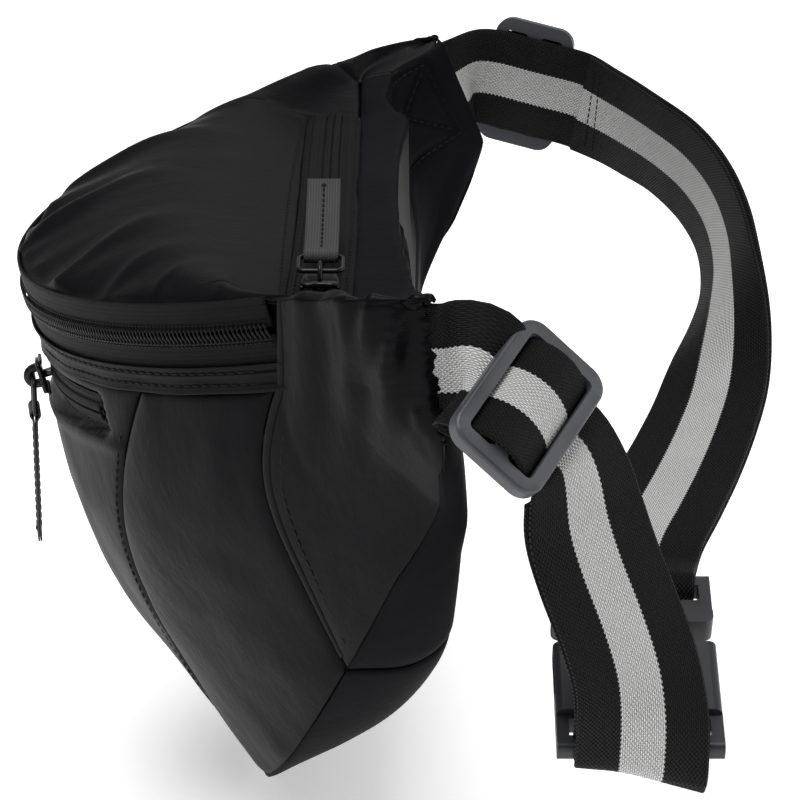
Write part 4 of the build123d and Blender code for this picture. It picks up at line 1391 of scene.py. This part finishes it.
def pull_tab(name, at, body, node_name, length, droop=0.0):
    """A ribbon folded round the ring, its two layers sewn together down the middle."""
    half, reach = 4.3, 9.6
    t = np.radians(np.linspace(-115, 115, 19))
    nose = [(reach - 1.62 * math.cos(a), 1.62 * math.sin(a)) for a in t]
    high = [(reach + s, 0.55 + 0.25 * math.exp(-s / 3.0)) for s in np.linspace(2.0, length, 24)]
    low = [(x, -z) for x, z in high[::-1]]
    line = np.array(low + nose + high)
    curl = droop * ((np.maximum(line[:, 0] - reach, 0)) / length) ** 2
    across = np.linspace(-half, half, 13)
    p = np.stack(np.broadcast_arrays(line[:, None, 0], across[None, :], (line[:, 1] + curl)[:, None]), -1)
    world = placed(at, p.reshape(-1, 3)).reshape(p.shape)
    run = run_along(line)
    uv = np.stack(np.broadcast_arrays(run[:, None], across[None, :]), -1)
    n = grid_normals(world)
    mid = placed(at, np.array([reach, 0, 0.0]))
    facing = ((world[33, 6] - mid) * n[33, 6]).sum() > 0
    obj = sheet_mesh(name, world, 0.48, uv, flip=not facing)
    done(obj, "pull", body, [node_name])
    batch = Batch()
    x = np.linspace(reach + 4.0, reach + length - 3.0, 60)
    z = 0.6 + droop * ((x - reach) / length) ** 2
    up = at[1][2]
    stitches(batch, placed(at, np.stack([x, 0 * x, z], -1)), up, "pull")
    stitches(batch, placed(at, np.stack([x, 0 * x, z - 1.2], -1)), -up, "pull")
    knot = placed(at, np.array([[reach + length - 3.2, 0, z[-1]], [reach + length - 1.8, 0, z[-1]]]))
    batch.add(*capsule(knot[0], knot[1], 0.75, up, 0.6, 8))
    stitch = batch.build(name + "_stitch")
    done(stitch, "thread", body)


def hanging(angle, height):
    """Frames of a slider on an arc and of its ring, which hangs straight down."""
    at = arc_point(angle, ZIP_R, height)
    out = arc_point(angle, ZIP_R + 1, height) - at
    along = arc_point(angle + 0.5, ZIP_R, height) - arc_point(angle - 0.5, ZIP_R, height)
    seat = frame_from(at, along, out)
    return seat, frame_from(placed(seat, EYE), (0, 0, -1), (out[0], out[1], 0.0))


def build_pulls():
    rear_seat = frame_from((91.0, REAR_Y, REAR_Z), (1, 0, 0), (0, 0, 1))
    rear_ring = frame_from(placed(rear_seat, EYE), (-1, 0, 0.1), (0.1, 0, 1))
    for name, (seat, hung), hangs, length, droop in (
            ("front_zip", hanging(-60.0, 0.0), True, 21.0, 0.0),
            ("pocket_zip", hanging(9.0, POCKET_D), True, 37.0, 0.0),
            ("rear_zip", (rear_seat, rear_ring), False, 37.0, 6.5)):
        slider(name + "_slider_body", seat, name + "_slider", hangs)
        ring(name + "_wire", hung, name + "_ring", name + "_ring")
        pull_tab(name + "_tab", hung, name + "_pull", name + "_pull", length, droop)


# ------------------------------------------------------------------ pad and hardware

def read_points(obj):
    return np.array([v.co for v in obj.data.vertices], float)


def write_points(obj, points):
    obj.data.vertices.foreach_set("co", points.astype(np.float32).ravel())


def lumbar():
    """The padded panel: a pillow sewn down round its edge, puffed by a cloth simulation."""
    low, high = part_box("lumbar_pad")
    low, high = np.array(low) / MM, np.array(high) / MM
    nx, nz = 64, 54
    inset = 0.8
    x = np.linspace(low[0] + inset, high[0] - inset, nx)[:, None]
    z = np.linspace(low[2] + inset, high[2] - inset, nz)[None, :]
    x, z = np.broadcast_arrays(x, z)
    cx, cz = (low[0] + high[0]) / 2, (low[2] + high[2]) / 2
    hx, hz = (high[0] - low[0]) / 2 - inset, (high[2] - low[2]) / 2 - inset
    u, w = (x - cx) / hx, (z - cz) / hz
    r = (np.abs(u) ** 7 + np.abs(w) ** 7) ** (1 / 7)
    k = np.where(r > 1e-6, np.maximum(np.abs(u), np.abs(w)) / np.maximum(r, 1e-6), 1.0)
    px, pz = cx + u * hx * k, cz + w * hz * k
    crown = np.clip(1 - np.maximum(np.abs(u), np.abs(w)) ** 6, 0, 1) ** 0.5
    front = np.stack([px, -4.6 + 3.4 * crown, pz], -1)
    obj = faced_sheet("lumbar_cushion", front, (0, 1, 0), 3.0)
    inflate(obj, 1.2)
    co = read_points(obj) / MM
    rel = np.maximum(np.abs((co[:, 0] - cx) / hx), np.abs((co[:, 2] - cz) / hz))
    front_side = co[:, 1] > -4.4
    for line_x in (-18.0, 18.0):
        groove = np.exp(-(((co[:, 0] - line_x) / 1.7) ** 2)) * smooth(0.93 - rel, 0.0, 0.1)
        co[:, 1] -= np.where(front_side, 1.5 * groove, 0)
    border = np.exp(-(((rel - 0.9) / 0.035) ** 2))
    co[:, 1] -= np.where(front_side, 0.9 * border, 0)
    co[:, 1] = np.minimum(co[:, 1], high[1] + 1.5)
    write_points(obj, co * MM)
    done(obj, "pad", "pack", ["lumbar_pad"])


def inflate(obj, cap):
    """Puffs a closed piece with a short cloth simulation, never moving a point further than cap mm."""
    rest = read_points(obj)
    group = obj.vertex_groups.new(name="sewn")
    edge = np.nonzero(rest[:, 1] < rest[:, 1].min() + 0.0032)[0]
    group.add([int(i) for i in edge], 1.0, "REPLACE")
    cloth = obj.modifiers.new("cloth", "CLOTH")
    s = cloth.settings
    s.use_pressure = True
    s.uniform_pressure_force = 4.0
    s.effector_weights.gravity = 0.0
    s.mass = 0.2
    s.tension_stiffness = 12.0
    s.vertex_group_mass = "sewn"
    cloth.collision_settings.use_collision = False
    scene = bpy.context.scene
    for f in range(1, 15):
        scene.frame_set(f)
    deps = bpy.context.evaluated_depsgraph_get()
    moved = read_points(obj.evaluated_get(deps))
    obj.modifiers.remove(cloth)
    shift = moved - rest
    size = np.linalg.norm(shift, axis=1, keepdims=True)
    shift *= np.minimum(1.0, cap * MM / np.maximum(size, 1e-9))
    write_points(obj, rest + shift)
    scene.frame_set(1)


def hardware():
    """Materials of the CAD nodes that stay in the model."""
    for name, mat in (("adjuster_near", "plastic"), ("adjuster_far", "plastic"), ("buckle_female", "buckle"),
                      ("buckle_male", "buckle"), ("buckle_prong_left", "buckle"),
                      ("buckle_prong_right", "buckle"), ("divider", "lining")):
        mesh = NODES[name].data
        mesh.materials.clear()
        mesh.materials.append(MAT[mat])


# ------------------------------------------------------------------ stage

def studio():
    scene = bpy.context.scene
    camera = bpy.data.objects.new("camera", bpy.data.cameras.new("camera"))
    scene.collection.objects.link(camera)
    camera.data.lens = 135.0
    camera.data.sensor_width = 36.0
    camera.location = (0.80017, -0.00435, 0.26837)
    down = math.radians(18.65)
    look = Vector((-math.cos(down), 0, -math.sin(down)))
    camera.rotation_euler = look.to_track_quat("-Z", "Y").to_euler()
    camera.data.clip_start = 0.01
    scene.camera = camera
    world = bpy.data.worlds.new("world")
    scene.world = world
    world.use_nodes = True
    sky = world.node_tree.nodes["Background"]
    sky.inputs["Color"].default_value = (1, 1, 1, 1)
    sky.inputs["Strength"].default_value = 0.26
    low = min(corner[2] for corner in CAD_BOX)
    size = 6.0
    mesh = bpy.data.meshes.new("floor")
    mesh.from_pydata([(-size, -size, 0), (size, -size, 0), (size, size, 0), (-size, size, 0)], [],
                     [(0, 1, 2, 3)])
    floor = bpy.data.objects.new("floor", mesh)
    floor.location = (0, 0, low - 0.002)
    scene.collection.objects.link(floor)
    mat, _, shader = material("floor_paint")
    shader.inputs["Base Color"].default_value = (0.93, 0.93, 0.93, 1)
    surface(shader, 0.9, 0.1)
    shader.inputs["Emission Color"].default_value = (1, 1, 1, 1)
    shader.inputs["Emission Strength"].default_value = 0.42
    floor.data.materials.append(mat)
    for name, kind, energy, size, at, aim in (
            ("sun", "SUN", 2.5, 0.6, (0.25, -0.2, 1.3), (0, 0, 0)),
            ("key", "AREA", 0.8, 0.9, (0.55, -0.9, 1.25), (0, 0, 0)),
            ("back", "AREA", 2.6, 1.0, (-1.0, 0.3, 1.2), (0, 0, 0.02)),
            ("fill", "AREA", 4.0, 1.2, (-0.2, 1.3, 0.5), (0, 0, 0))):
        light = bpy.data.lights.new(name, kind)
        light.energy = energy
        if kind == "SUN":
            light.angle = size
        else:
            light.size = size
        made = bpy.data.objects.new(name, light)
        made.location = at
        made.rotation_euler = (Vector(aim) - Vector(at)).to_track_quat("-Z", "Y").to_euler()
        scene.collection.objects.link(made)
    scene.view_settings.view_transform = "Standard"


studio()
build_body()
build_zips()
sewing = Batch()
build_webbing(sewing)
done(sewing.build("belt_sewing"), "thread", "pack")
build_pulls()
lumbar()
hardware()
